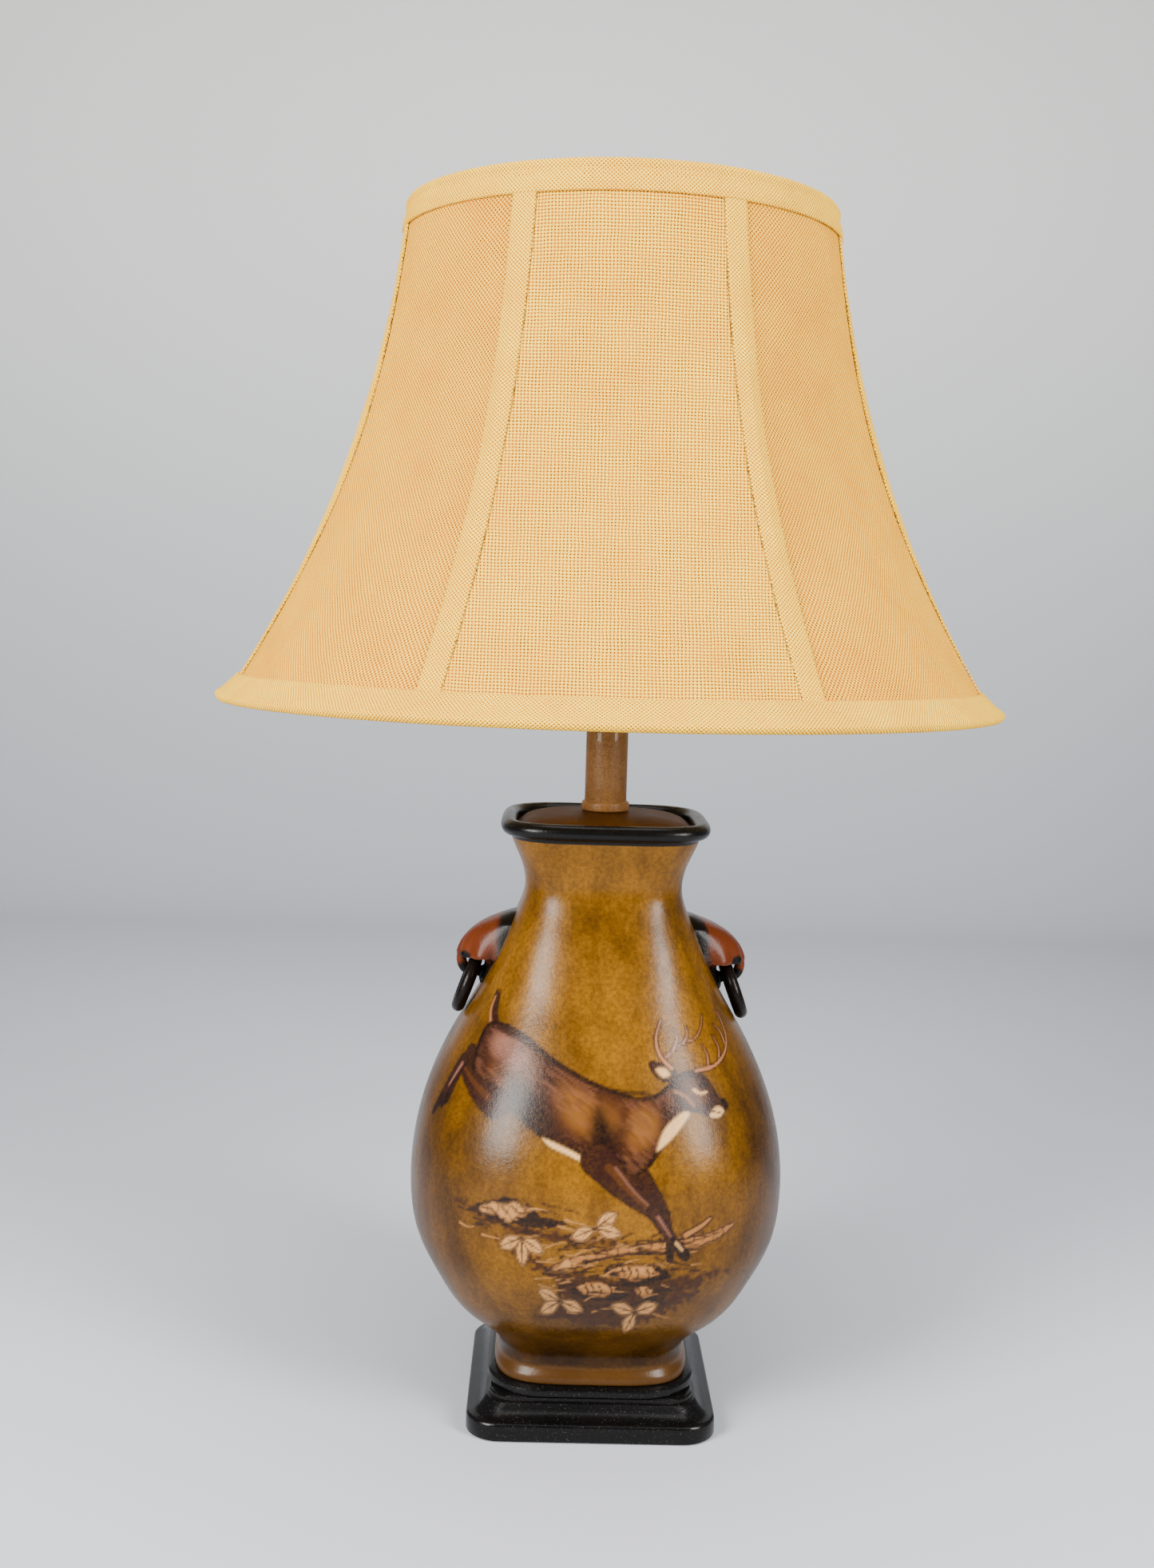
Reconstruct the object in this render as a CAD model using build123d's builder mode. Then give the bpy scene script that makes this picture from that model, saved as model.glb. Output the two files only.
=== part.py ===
from build123d import *
from math import atan, atan2, cos, degrees, pi, radians, sin, sqrt
import os

# Table lamp: rounded-square ceramic vase with ring handles, black plinth and a seven-panel burlap bell shade.
# Millimetres, +Z up, -Y is the front.  The origin is the bottom centre of the felt pad, on the table.

# ---------------------------------------------------------------- clearances
RUNNING_GAP = 0.05          # shaft in its hole, radial
LOOSE_GAP = 0.3             # between pieces that move past each other
GLUE_GAP = 0.1              # between pieces that are glued, crimped or sewn together

# ---------------------------------------------------------------- plinth and its hardware
FELT_THICKNESS = 2.0
FELT_INSET = 4.0
FELT_PROUD = 0.8            # how far the felt stands below the plinth
PLINTH_WIDTH = 146.0
PLINTH_CORNER = 20.0
SLAB_HEIGHT = 10.7
COVE_HEIGHT = 7.4
COVE_RUN = 11.0
STEP_HEIGHT = 2.9
SEAT_HEIGHT = 6.2
SEAT_MARGIN = 3.0           # seat edge outside the vase foot
WELL_RADIUS = 25.0
WELL_DEPTH = 13.2
CORD_BORE_RADIUS = 3.2
BUSHING_WALL = 0.9
BUSHING_LENGTH = 12.5
BUSHING_FLANGE = 1.1
BUSHING_FLANGE_THICKNESS = 1.5
ROD_RADIUS = 5.0
ROD_BORE_RADIUS = 3.3
ROD_TAIL = 3.0              # rod standing below the base nut
WASHER_RADIUS = 16.0
WASHER_THICKNESS = 2.0
LOCK_WASHER_RADIUS = 9.0
LOCK_WASHER_THICKNESS = 1.4
NUT_ACROSS_FLATS = 17.0
NUT_THICKNESS = 4.5

# ---------------------------------------------------------------- vase
FOOT_HALF = 57.8
FOOT_BAND = 9.5
WAIST_HALF = 55.4
WAIST_RISE = 13.0           # waist above the foot's underside
BELLY_HALF = 110.7
BELLY_RISE = 106.0
NECK_HALF = 47.1
NECK_RISE = 284.0
LIP_HALF = 61.6
LIP_RISE = 325.0
LIP_BEAD = 4.7              # radius of the lip's rounded bead
VASE_WALL = 5.0
SWELL = [(0.12, 0.10), (0.29, 0.42), (0.53, 0.72), (0.77, 0.93)]
TAPER = [(0.29, 0.09), (0.51, 0.35), (0.72, 0.68), (0.88, 0.87)]
FLARE = [(0.49, 0.17), (0.83, 0.56)]
OUTLINE_POINTS = 24

# ---------------------------------------------------------------- ring handles
MASK_TOP_HALF = 17.0
MASK_FOOT_HALF = 27.0
MASK_REACH = 87.4           # how far the handle stands out from the lamp's axis
RING_PIVOT_X = 75.0
RING_PIVOT_Z = 268.0
RING_MEAN_RADIUS = 15.0
RING_BAR_RADIUS = 3.9
RING_HOLE_GAP = 0.9
RING_LEAN = 20.2            # degrees from straight down, where it lies on the belly
SNOUT_HALF = 3.5

# ---------------------------------------------------------------- neck
CAP_SHEET = 1.2
CAP_DOME = 7.0
COLLAR_RADIUS = 14.2
COLLAR_HEIGHT = 6.0
COLLAR_FLOOR = 1.5
TUBE_RADIUS = 12.5
TUBE_WALL = 1.4
TUBE_LENGTH = 75.0
TOP_WASHER_RADIUS = 13.4
SADDLE_THICKNESS = 2.0
SADDLE_WIDTH = 12.0
SADDLE_ARM = 32.0           # from the axis to each upright tang
SADDLE_TANG = 15.0
TANG_WIDTH = 5.0
SADDLE_NUT_THICKNESS = 3.7

# ---------------------------------------------------------------- socket and switch
SOCKET_SHELL_RADIUS = 16.9
SOCKET_SHELL_WALL = 0.6
SOCKET_HEIGHT = 48.0
SOCKET_CAP_HEIGHT = 20.0
SOCKET_LINER_WALL = 0.8
SOCKET_BODY_HEIGHT = 22.0
SCREW_SHELL_HEIGHT = 24.0
SCREW_SHELL_WALL = 0.5
BULB_BASE_RADIUS = 13.0
SWITCH_SHAFT_RADIUS = 2.4
SWITCH_RISE = 12.5          # switch shaft above the socket body's underside
KNOB_RADIUS = 6.2
KNOB_LENGTH = 13.0
KNOB_STANDOFF = 4.0
SET_SCREW_RADIUS = 1.7
TERMINAL_HEAD_RADIUS = 3.0
TERMINAL_LENGTH = 4.0
CONTACT_RADIUS = 6.0

# ---------------------------------------------------------------- bulb
BULB_RADIUS = 30.0
BULB_HEIGHT = 110.0
BULB_BASE_HEIGHT = 24.5
GLASS_WALL = 0.8
STEM_RADIUS = 4.5

# ---------------------------------------------------------------- harp and finial
HARP_HEIGHT = 244.0         # tang root to the top plate's upper face
HARP_HALF_WIDTH = 55.0
HARP_WIRE_RADIUS = 1.9
HARP_LEG = 30.0
SLEEVE_RADIUS = 4.3
SLEEVE_LENGTH = 15.0
TOP_PLATE_RADIUS = 10.0
TOP_PLATE_THICKNESS = 2.0
STUD_RADIUS = 3.1
STUD_LENGTH = 15.0
FINIAL_HEIGHT = 30.0
FINIAL_RADIUS = 8.0

# ---------------------------------------------------------------- shade
PANEL_COUNT = 7
SHADE_TOP_Z = 706.7
SHADE_HEIGHT = 284.0
SHADE_TOP_RADIUS = 122.6    # cloth at a rib, at the top edge
SHADE_BOTTOM_RADIUS = 223.2  # cloth at a rib, at the bottom edge
RIB_ARC = 639.0             # the ribs' curve, seen from the side
PANEL_FLATNESS = 0.7        # 0 keeps the panels round, 1 pulls them flat half way up
CLOTH = 1.2
TAPE = 0.8
TAPE_HALF_WIDTH = 7.0
TOP_TRIM_HEIGHT = 16.5
TOP_TRIM_PROUD = 1.6
BOTTOM_TRIM_HEIGHT = 15.0
BOTTOM_TRIM_PROUD = 4.8
LINER = 0.6
RIB_WIRE_RADIUS = 1.25
RING_WIRE_RADIUS = 1.6
SPIDER_WASHER_RADIUS = 12.5
SPIDER_WIRE_RADIUS = 1.5
SPIDER_ARMS = 3

# ---------------------------------------------------------------- heights that follow from the sizes
PLINTH_Z = FELT_PROUD
SLAB_TOP = PLINTH_Z + SLAB_HEIGHT
STEP_BOTTOM = SLAB_TOP + COVE_HEIGHT
STEP_TOP = STEP_BOTTOM + STEP_HEIGHT
FOOT_Z = STEP_TOP + SEAT_HEIGHT
WELL_TOP = PLINTH_Z + WELL_DEPTH
CORD_Z = PLINTH_Z + SLAB_HEIGHT / 2
LIP_Z = FOOT_Z + LIP_RISE
MOUTH_HALF = LIP_HALF - 2 * LIP_BEAD
CAP_SEAT_Z = LIP_Z - LIP_BEAD
CAP_TOP = CAP_SEAT_Z + CAP_DOME + LIP_BEAD
TUBE_Z = CAP_TOP + GLUE_GAP + COLLAR_FLOOR
TUBE_TOP = TUBE_Z + TUBE_LENGTH
SADDLE_Z = TUBE_TOP + WASHER_THICKNESS
SADDLE_TOP = SADDLE_Z + SADDLE_THICKNESS
SOCKET_Z = SADDLE_TOP + SADDLE_NUT_THICKNESS + GLUE_GAP
BODY_Z = SOCKET_Z + SOCKET_CAP_HEIGHT - 4.0
SCREW_SHELL_Z = BODY_Z + SOCKET_BODY_HEIGHT
BULB_Z = SCREW_SHELL_Z + LOOSE_GAP + 0.5
SWITCH_Z = BODY_Z + SWITCH_RISE
TERMINAL_Z = BODY_Z + SWITCH_RISE
TANG_TOP = SADDLE_Z + SADDLE_TANG
HARP_TOP = SADDLE_TOP + HARP_HEIGHT
SHADE_BOTTOM_Z = SHADE_TOP_Z - SHADE_HEIGHT
SPIDER_Z = HARP_TOP + LOOSE_GAP
HALF_PANEL = pi / PANEL_COUNT
MASK_TOP_Z = RING_PIVOT_Z + 30.0
MASK_FOOT_Z = RING_PIVOT_Z - 16.0

# the ribs' circle: through the top and bottom edges, bowing in towards the axis
CHORD = sqrt((SHADE_BOTTOM_RADIUS - SHADE_TOP_RADIUS) ** 2 + SHADE_HEIGHT ** 2)
CHORD_LEAN = atan2(SHADE_BOTTOM_RADIUS - SHADE_TOP_RADIUS, SHADE_HEIGHT)
ARC_DROP = sqrt(RIB_ARC ** 2 - (CHORD / 2) ** 2)
ARC_X = (SHADE_TOP_RADIUS + SHADE_BOTTOM_RADIUS) / 2 + ARC_DROP * cos(CHORD_LEAN)
ARC_Z = (SHADE_TOP_Z + SHADE_BOTTOM_Z) / 2 + ARC_DROP * sin(CHORD_LEAN)


def rib_radius(z, inset=0.0):
    """Distance from the axis to the cloth at a rib at height z, less an inset square to the cloth."""
    return ARC_X - sqrt((RIB_ARC + inset) ** 2 - (z - ARC_Z) ** 2)


def roundness(z):
    """1 where the rings hold the panels round, less half way up, where they are pulled flatter."""
    low = SHADE_BOTTOM_Z + BOTTOM_TRIM_HEIGHT
    high = SHADE_TOP_Z - TOP_TRIM_HEIGHT
    share = min(max((z - low) / (high - low), 0.0), 1.0)
    return 1.0 - PANEL_FLATNESS * sin(pi * share) ** 2


def shade_levels(low, high, count):
    """Evenly spaced heights for the sections of a loft."""
    return [low + (high - low) * step / (count - 1) for step in range(count)]


def arc_points(z, inset, trim=0.0):
    """The two ends and the middle of one panel's arc at height z; the panel's middle is on +X."""
    corner = rib_radius(z, inset)
    turn = HALF_PANEL - trim / corner
    middle = corner * (cos(HALF_PANEL) + roundness(z) * (1 - cos(HALF_PANEL)))
    return (corner * cos(turn), -corner * sin(turn)), (middle, 0), (corner * cos(turn), corner * sin(turn))


def vase_stations():
    """Height, half width and squareness of the vase's outside, from above the foot band to the lip."""
    waist_z = FOOT_Z + WAIST_RISE
    belly_z = FOOT_Z + BELLY_RISE
    neck_z = FOOT_Z + NECK_RISE
    found = [(FOOT_Z + FOOT_BAND, WAIST_HALF + 0.4), (waist_z, WAIST_HALF)]
    for along, share in SWELL:
        found.append((waist_z + along * (belly_z - waist_z), WAIST_HALF + share * (BELLY_HALF - WAIST_HALF)))
    found.append((belly_z, BELLY_HALF))
    for along, share in TAPER:
        found.append((belly_z + along * (neck_z - belly_z), BELLY_HALF + share * (NECK_HALF - BELLY_HALF)))
    found.append((neck_z, NECK_HALF))
    for along, share in FLARE:
        found.append((neck_z + along * (LIP_Z - neck_z), NECK_HALF + share * (LIP_HALF - NECK_HALF)))
    found.append((LIP_Z, LIP_HALF - LIP_BEAD))
    return [(z, half, squareness(z)) for z, half in found]


def squareness(z):
    """Power of the rounded-square outline: squarer at foot and lip, rounder at the belly."""
    share = (z - FOOT_Z) / LIP_RISE
    return 2.6 + 1.4 * (1 - min(share / 0.3, 1.0)) ** 1.5 + 1.4 * max((share - 0.55) / 0.45, 0.0) ** 2


def rounded_square(half, power):
    """Points of the outline |x|^p + |y|^p = half^p, evenly spaced in angle."""
    found = []
    for step in range(OUTLINE_POINTS):
        turn = 2 * pi * step / OUTLINE_POINTS
        reach = half / (abs(cos(turn)) ** power + abs(sin(turn)) ** power) ** (1 / power)
        found.append((reach * cos(turn), reach * sin(turn)))
    return found


def rounded_square_face(height, half, power):
    """One horizontal rounded-square section."""
    with BuildSketch(Plane.XY.offset(height)) as section:
        with BuildLine():
            Spline(*rounded_square(half, power), periodic=True)
        make_face()
    return section.sketch.face()


def vase_sections(inset=0.0):
    """All sections of the vase's outside, or of its inside when inset by the wall."""
    return [rounded_square_face(height, half - inset, power) for height, half, power in vase_stations()]


def finish(part, name):
    """Label one finished piece and write it."""
    part.label = name
    export_step(part, f"parts/{name}.step")


os.makedirs("parts", exist_ok=True)

# ================================================================ plinth, felt and base hardware
with BuildPart() as plinth:
    with BuildSketch(Plane.XY.offset(PLINTH_Z)):
        RectangleRounded(PLINTH_WIDTH, PLINTH_WIDTH, PLINTH_CORNER)
    extrude(amount=SLAB_HEIGHT)
    fillet(plinth.faces().sort_by(Axis.Z)[-1].edges(), radius=3.0)
    COVE_WIDTH = PLINTH_WIDTH - 7.0
    with BuildSketch(Plane.XY.offset(SLAB_TOP)):
        RectangleRounded(COVE_WIDTH, COVE_WIDTH, PLINTH_CORNER - 3.5)
    with BuildSketch(Plane.XY.offset(STEP_BOTTOM)):
        RectangleRounded(COVE_WIDTH - COVE_RUN, COVE_WIDTH - COVE_RUN, PLINTH_CORNER - 6.5)
    loft()
    STEP_WIDTH = COVE_WIDTH - COVE_RUN - 9.5
    with BuildSketch(Plane.XY.offset(STEP_BOTTOM)):
        RectangleRounded(STEP_WIDTH, STEP_WIDTH, PLINTH_CORNER - 6.0)
    extrude(amount=STEP_HEIGHT)
    loft([rounded_square_face(STEP_TOP, FOOT_HALF + SEAT_MARGIN, squareness(FOOT_Z)),
          rounded_square_face(FOOT_Z, FOOT_HALF + SEAT_MARGIN - 2.0, squareness(FOOT_Z))])
    with BuildSketch(Plane.XY.offset(PLINTH_Z)):
        Circle(WELL_RADIUS)
    extrude(amount=WELL_DEPTH, mode=Mode.SUBTRACT)
    FELT_HALF = PLINTH_WIDTH / 2 - FELT_INSET
    with BuildSketch(Plane.XY.offset(PLINTH_Z)):
        RectangleRounded(2 * FELT_HALF + 2 * GLUE_GAP, 2 * FELT_HALF + 2 * GLUE_GAP, PLINTH_CORNER - FELT_INSET)
    extrude(amount=FELT_THICKNESS - FELT_PROUD, mode=Mode.SUBTRACT)
    with BuildSketch(Plane.XY.offset(WELL_TOP - 1)):
        Circle(ROD_RADIUS + GLUE_GAP)
    extrude(amount=FOOT_Z - WELL_TOP + 2, mode=Mode.SUBTRACT)
    with BuildSketch(Plane.XZ.offset(-PLINTH_WIDTH / 2)):
        with Locations((0, CORD_Z)):
            Circle(CORD_BORE_RADIUS + BUSHING_WALL + GLUE_GAP)
    extrude(amount=PLINTH_WIDTH / 2 - WELL_RADIUS + 2, mode=Mode.SUBTRACT)
finish(plinth.part, "plinth")

with BuildPart() as felt_pad:
    with BuildSketch():
        RectangleRounded(2 * FELT_HALF, 2 * FELT_HALF, PLINTH_CORNER - FELT_INSET)
    extrude(amount=FELT_THICKNESS)
finish(felt_pad.part, "felt_pad")

with BuildPart() as cord_bushing:
    with BuildSketch(Plane.XZ.offset(-(PLINTH_WIDTH / 2 + BUSHING_FLANGE_THICKNESS))):
        with Locations((0, CORD_Z)):
            Circle(CORD_BORE_RADIUS + BUSHING_WALL + BUSHING_FLANGE)
    extrude(amount=BUSHING_FLANGE_THICKNESS - GLUE_GAP / 2)
    with BuildSketch(Plane.XZ.offset(-(PLINTH_WIDTH / 2 + BUSHING_FLANGE_THICKNESS))):
        with Locations((0, CORD_Z)):
            Circle(CORD_BORE_RADIUS + BUSHING_WALL)
    extrude(amount=BUSHING_LENGTH + BUSHING_FLANGE_THICKNESS)
    with BuildSketch(Plane.XZ.offset(-(PLINTH_WIDTH / 2 + BUSHING_FLANGE_THICKNESS))):
        with Locations((0, CORD_Z)):
            Circle(CORD_BORE_RADIUS)
    extrude(amount=BUSHING_LENGTH + BUSHING_FLANGE_THICKNESS, mode=Mode.SUBTRACT)
finish(cord_bushing.part, "cord_bushing")

with BuildPart() as base_washer:
    with BuildSketch(Plane.XY.offset(WELL_TOP - WASHER_THICKNESS)):
        Circle(WASHER_RADIUS)
        Circle(ROD_RADIUS + GLUE_GAP, mode=Mode.SUBTRACT)
    extrude(amount=WASHER_THICKNESS)
finish(base_washer.part, "base_washer")

LOCK_WASHER_Z = WELL_TOP - WASHER_THICKNESS - LOCK_WASHER_THICKNESS
with BuildPart() as base_lock_washer:
    with BuildSketch(Plane.XY.offset(LOCK_WASHER_Z)):
        Circle(LOCK_WASHER_RADIUS)
        Circle(ROD_RADIUS + GLUE_GAP, mode=Mode.SUBTRACT)
        with Locations((LOCK_WASHER_RADIUS, 0)):
            Rectangle(2 * (LOCK_WASHER_RADIUS - ROD_RADIUS) + 1, 1.0, mode=Mode.SUBTRACT)
    extrude(amount=LOCK_WASHER_THICKNESS)
finish(base_lock_washer.part, "base_lock_washer")

BASE_NUT_Z = LOCK_WASHER_Z - NUT_THICKNESS
with BuildPart() as base_nut:
    with BuildSketch(Plane.XY.offset(BASE_NUT_Z)):
        RegularPolygon(NUT_ACROSS_FLATS / 2, 6, major_radius=False)
        Circle(ROD_RADIUS + GLUE_GAP, mode=Mode.SUBTRACT)
    extrude(amount=NUT_THICKNESS)
finish(base_nut.part, "base_nut")

ROD_Z = BASE_NUT_Z - ROD_TAIL + 1.0
ROD_TOP = SOCKET_Z + 7.0
with BuildPart() as threaded_rod:
    with BuildSketch(Plane.XY.offset(ROD_Z)):
        Circle(ROD_RADIUS)
        Circle(ROD_BORE_RADIUS, mode=Mode.SUBTRACT)
    extrude(amount=ROD_TOP - ROD_Z)
    chamfer(threaded_rod.edges().filter_by(GeomType.CIRCLE).group_by(SortBy.RADIUS)[-1], length=0.6)
finish(threaded_rod.part, "threaded_rod")

# ================================================================ vase and its cap
with BuildPart() as vase_body:
    extrude(rounded_square_face(FOOT_Z + GLUE_GAP, FOOT_HALF, squareness(FOOT_Z)), amount=FOOT_BAND + 0.2)
    fillet(vase_body.edges().group_by(Axis.Z)[-1], radius=1.5)
    fillet(vase_body.edges().group_by(Axis.Z)[0], radius=0.8)
    loft(vase_sections())
    with BuildLine(Plane.XY.offset(LIP_Z)) as lip_line:
        Spline(*rounded_square(LIP_HALF - LIP_BEAD, squareness(LIP_Z)), periodic=True)
    with BuildSketch(Plane.XZ):
        with Locations((LIP_HALF - LIP_BEAD, LIP_Z)):
            Circle(LIP_BEAD)
    sweep(path=lip_line.wire())
    loft(vase_sections(VASE_WALL), mode=Mode.SUBTRACT)
    mouth = rounded_square_face(CAP_SEAT_Z, MOUTH_HALF, squareness(LIP_Z))
    extrude(mouth, amount=2 * LIP_BEAD + 2, mode=Mode.SUBTRACT)
    throat = rounded_square_face(LIP_Z - 20, NECK_HALF - VASE_WALL, squareness(LIP_Z))
    extrude(throat, amount=22, mode=Mode.SUBTRACT)
    with BuildSketch(Plane.XY.offset(FOOT_Z)):
        Circle(ROD_RADIUS + 1.0)
    extrude(amount=FOOT_BAND + 2, mode=Mode.SUBTRACT)
finish(vase_body.part, "vase_body")

with BuildPart() as vase_cap:
    CAP_HALF = MOUTH_HALF - LOOSE_GAP
    DOME = CAP_TOP - CAP_SEAT_Z
    outside = ((0.0, 1.0), (LIP_BEAD, 0.97), (DOME - 2.0, 0.66), (DOME, 0.3))
    inside = ((0.0, 0.965), (LIP_BEAD, 0.93), (DOME - CAP_SHEET - 2.2, 0.62), (DOME - CAP_SHEET - 0.2, 0.28))
    loft([rounded_square_face(CAP_SEAT_Z + GLUE_GAP + rise, CAP_HALF * share, squareness(LIP_Z))
          for rise, share in outside])
    loft([rounded_square_face(CAP_SEAT_Z + GLUE_GAP + rise, CAP_HALF * share, squareness(LIP_Z))
          for rise, share in inside], mode=Mode.SUBTRACT)
    with BuildSketch(Plane.XY.offset(CAP_SEAT_Z)):
        Circle(ROD_RADIUS + GLUE_GAP)
    extrude(amount=DOME + 2, mode=Mode.SUBTRACT)
finish(vase_cap.part, "vase_cap")


def ring_handle(side):
    """One moulded handle on the vase's side: a domed, fan-shaped mask with a narrow snout for the ring."""
    hole = RING_BAR_RADIUS + RING_HOLE_GAP
    with BuildPart() as handle:
        with BuildSketch(Plane.XZ):
            with BuildLine():
                Spline((side * 46.0, MASK_TOP_Z + 1.5),
                       (side * (MASK_REACH - 29.6), MASK_TOP_Z - 0.4),
                       (side * (MASK_REACH - 19.6), MASK_TOP_Z - 4.4),
                       (side * (MASK_REACH - 10.6), MASK_TOP_Z - 9.7),
                       (side * (MASK_REACH - 3.9), MASK_TOP_Z - 16.5),
                       (side * (MASK_REACH - 0.2), MASK_TOP_Z - 25.5))
                Polyline((side * (MASK_REACH - 0.2), MASK_TOP_Z - 25.5),
                         (side * (MASK_REACH - 0.4), RING_PIVOT_Z + 2.6),
                         (side * RING_PIVOT_X, RING_PIVOT_Z + hole),
                         (side * (RING_PIVOT_X - hole), RING_PIVOT_Z),
                         (side * (RING_PIVOT_X - 3.0), RING_PIVOT_Z - 8.0),
                         (side * (RING_PIVOT_X + 0.2), MASK_FOOT_Z + 0.6),
                         (side * (RING_PIVOT_X - 15.0), MASK_FOOT_Z),
                         (side * 46.0, MASK_FOOT_Z + 8.0),
                         (side * 46.0, MASK_TOP_Z + 1.5))
            make_face()
        extrude(amount=MASK_FOOT_HALF + 2, both=True)
        with BuildSketch(Plane.YZ):
            with BuildLine():
                Polyline((-MASK_FOOT_HALF, MASK_FOOT_Z - 1), (-MASK_FOOT_HALF, MASK_FOOT_Z + 9),
                         (-MASK_TOP_HALF, MASK_TOP_Z + 3), (MASK_TOP_HALF, MASK_TOP_Z + 3),
                         (MASK_FOOT_HALF, MASK_FOOT_Z + 9), (MASK_FOOT_HALF, MASK_FOOT_Z - 1), close=True)
            make_face()
        extrude(amount=side * (MASK_REACH + 5), mode=Mode.INTERSECT)
        with BuildSketch(Plane.XY.offset(MASK_FOOT_Z - 5)):
            with Locations((side * 52.0, 0)):
                Ellipse(MASK_REACH - 52.0, MASK_FOOT_HALF + 1)
        extrude(amount=MASK_TOP_Z - MASK_FOOT_Z + 20, mode=Mode.INTERSECT)
        with BuildSketch(Plane.XZ):
            with BuildLine():
                Polyline((side * (MASK_REACH - 0.1), RING_PIVOT_Z + 5.0),
                         (side * (MASK_REACH - 0.3), RING_PIVOT_Z),
                         (side * (MASK_REACH - 1.1), RING_PIVOT_Z - 4.0),
                         (side * (MASK_REACH - 4.2), RING_PIVOT_Z - 9.7),
                         (side * (RING_PIVOT_X + 4.5), RING_PIVOT_Z - 10.9),
                         (side * RING_PIVOT_X, RING_PIVOT_Z - 10.2),
                         (side * (RING_PIVOT_X - 7.5), RING_PIVOT_Z - 6.0),
                         (side * (RING_PIVOT_X - 9.0), RING_PIVOT_Z + 3.0),
                         (side * RING_PIVOT_X, RING_PIVOT_Z + 11.0), close=True)
            make_face()
        extrude(amount=SNOUT_HALF, both=True)
        with BuildSketch(Plane.XZ):
            with Locations((side * RING_PIVOT_X, RING_PIVOT_Z)):
                Circle(hole)
        extrude(amount=MASK_FOOT_HALF + 3, both=True, mode=Mode.SUBTRACT)
        loft(vase_sections(-GLUE_GAP), mode=Mode.SUBTRACT)
    return handle.part


def pull_ring(side):
    """One loose ring, hanging from its pivot with its lower edge by the belly."""
    lean = radians(RING_LEAN)
    centre_x = side * (RING_PIVOT_X + RING_MEAN_RADIUS * sin(lean))
    centre_z = RING_PIVOT_Z - RING_MEAN_RADIUS * cos(lean)
    ring_plane = Plane(origin=(centre_x, 0, centre_z), x_dir=(0, 1, 0), z_dir=(side * cos(lean), 0, sin(lean)))
    with BuildPart() as ring:
        with Locations(ring_plane):
            Torus(RING_MEAN_RADIUS, RING_BAR_RADIUS)
    return ring.part


for side, word in ((-1, "left"), (1, "right")):
    finish(ring_handle(side), f"handle_{word}")
    finish(pull_ring(side), f"ring_{word}")

# ================================================================ neck tube and saddle
COLLAR_Z = CAP_TOP + GLUE_GAP
with BuildPart() as neck_collar:
    with BuildSketch(Plane.XY.offset(COLLAR_Z)):
        Circle(COLLAR_RADIUS)
    extrude(amount=COLLAR_HEIGHT)
    fillet(neck_collar.edges().filter_by(GeomType.CIRCLE), radius=2.0)
    with BuildSketch(Plane.XY.offset(TUBE_Z)):
        Circle(TUBE_RADIUS + GLUE_GAP)
    extrude(amount=COLLAR_HEIGHT, mode=Mode.SUBTRACT)
    with BuildSketch(Plane.XY.offset(COLLAR_Z)):
        Circle(ROD_RADIUS + GLUE_GAP)
    extrude(amount=COLLAR_HEIGHT, mode=Mode.SUBTRACT)
finish(neck_collar.part, "neck_collar")

with BuildPart() as neck_tube:
    with BuildSketch(Plane.XY.offset(TUBE_Z)):
        Circle(TUBE_RADIUS)
        Circle(TUBE_RADIUS - TUBE_WALL, mode=Mode.SUBTRACT)
    extrude(amount=TUBE_LENGTH)
finish(neck_tube.part, "neck_tube")

with BuildPart() as neck_top_washer:
    with BuildSketch(Plane.XY.offset(TUBE_TOP)):
        Circle(TOP_WASHER_RADIUS)
        Circle(ROD_RADIUS + GLUE_GAP, mode=Mode.SUBTRACT)
    extrude(amount=WASHER_THICKNESS)
finish(neck_top_washer.part, "neck_top_washer")

with BuildPart() as harp_saddle:
    with BuildSketch(Plane.XZ):
        with BuildLine():
            Polyline((-SADDLE_ARM - 1, SADDLE_Z + 6), (-16, SADDLE_Z), (16, SADDLE_Z), (SADDLE_ARM + 1, SADDLE_Z + 6),
                     (SADDLE_ARM - 1, SADDLE_Z + 6 + SADDLE_THICKNESS), (15.5, SADDLE_TOP), (-15.5, SADDLE_TOP),
                     (-SADDLE_ARM + 1, SADDLE_Z + 6 + SADDLE_THICKNESS), close=True)
        make_face()
    extrude(amount=SADDLE_WIDTH / 2, both=True)
    with BuildSketch(Plane.XZ):
        with Locations((-SADDLE_ARM, TANG_TOP), (SADDLE_ARM, TANG_TOP)):
            Rectangle(2.0, SADDLE_TANG - 4, align=(Align.CENTER, Align.MAX))
    extrude(amount=TANG_WIDTH / 2, both=True)
    with BuildSketch(Plane.XY.offset(SADDLE_Z - 1)):
        Circle(ROD_RADIUS + GLUE_GAP)
    extrude(amount=SADDLE_THICKNESS + 2, mode=Mode.SUBTRACT)
finish(harp_saddle.part, "harp_saddle")

with BuildPart() as saddle_nut:
    with BuildSketch(Plane.XY.offset(SADDLE_TOP)):
        RegularPolygon(NUT_ACROSS_FLATS / 2, 6, major_radius=False)
        Circle(ROD_RADIUS + GLUE_GAP, mode=Mode.SUBTRACT)
    extrude(amount=SADDLE_NUT_THICKNESS)
finish(saddle_nut.part, "saddle_nut")

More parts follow.
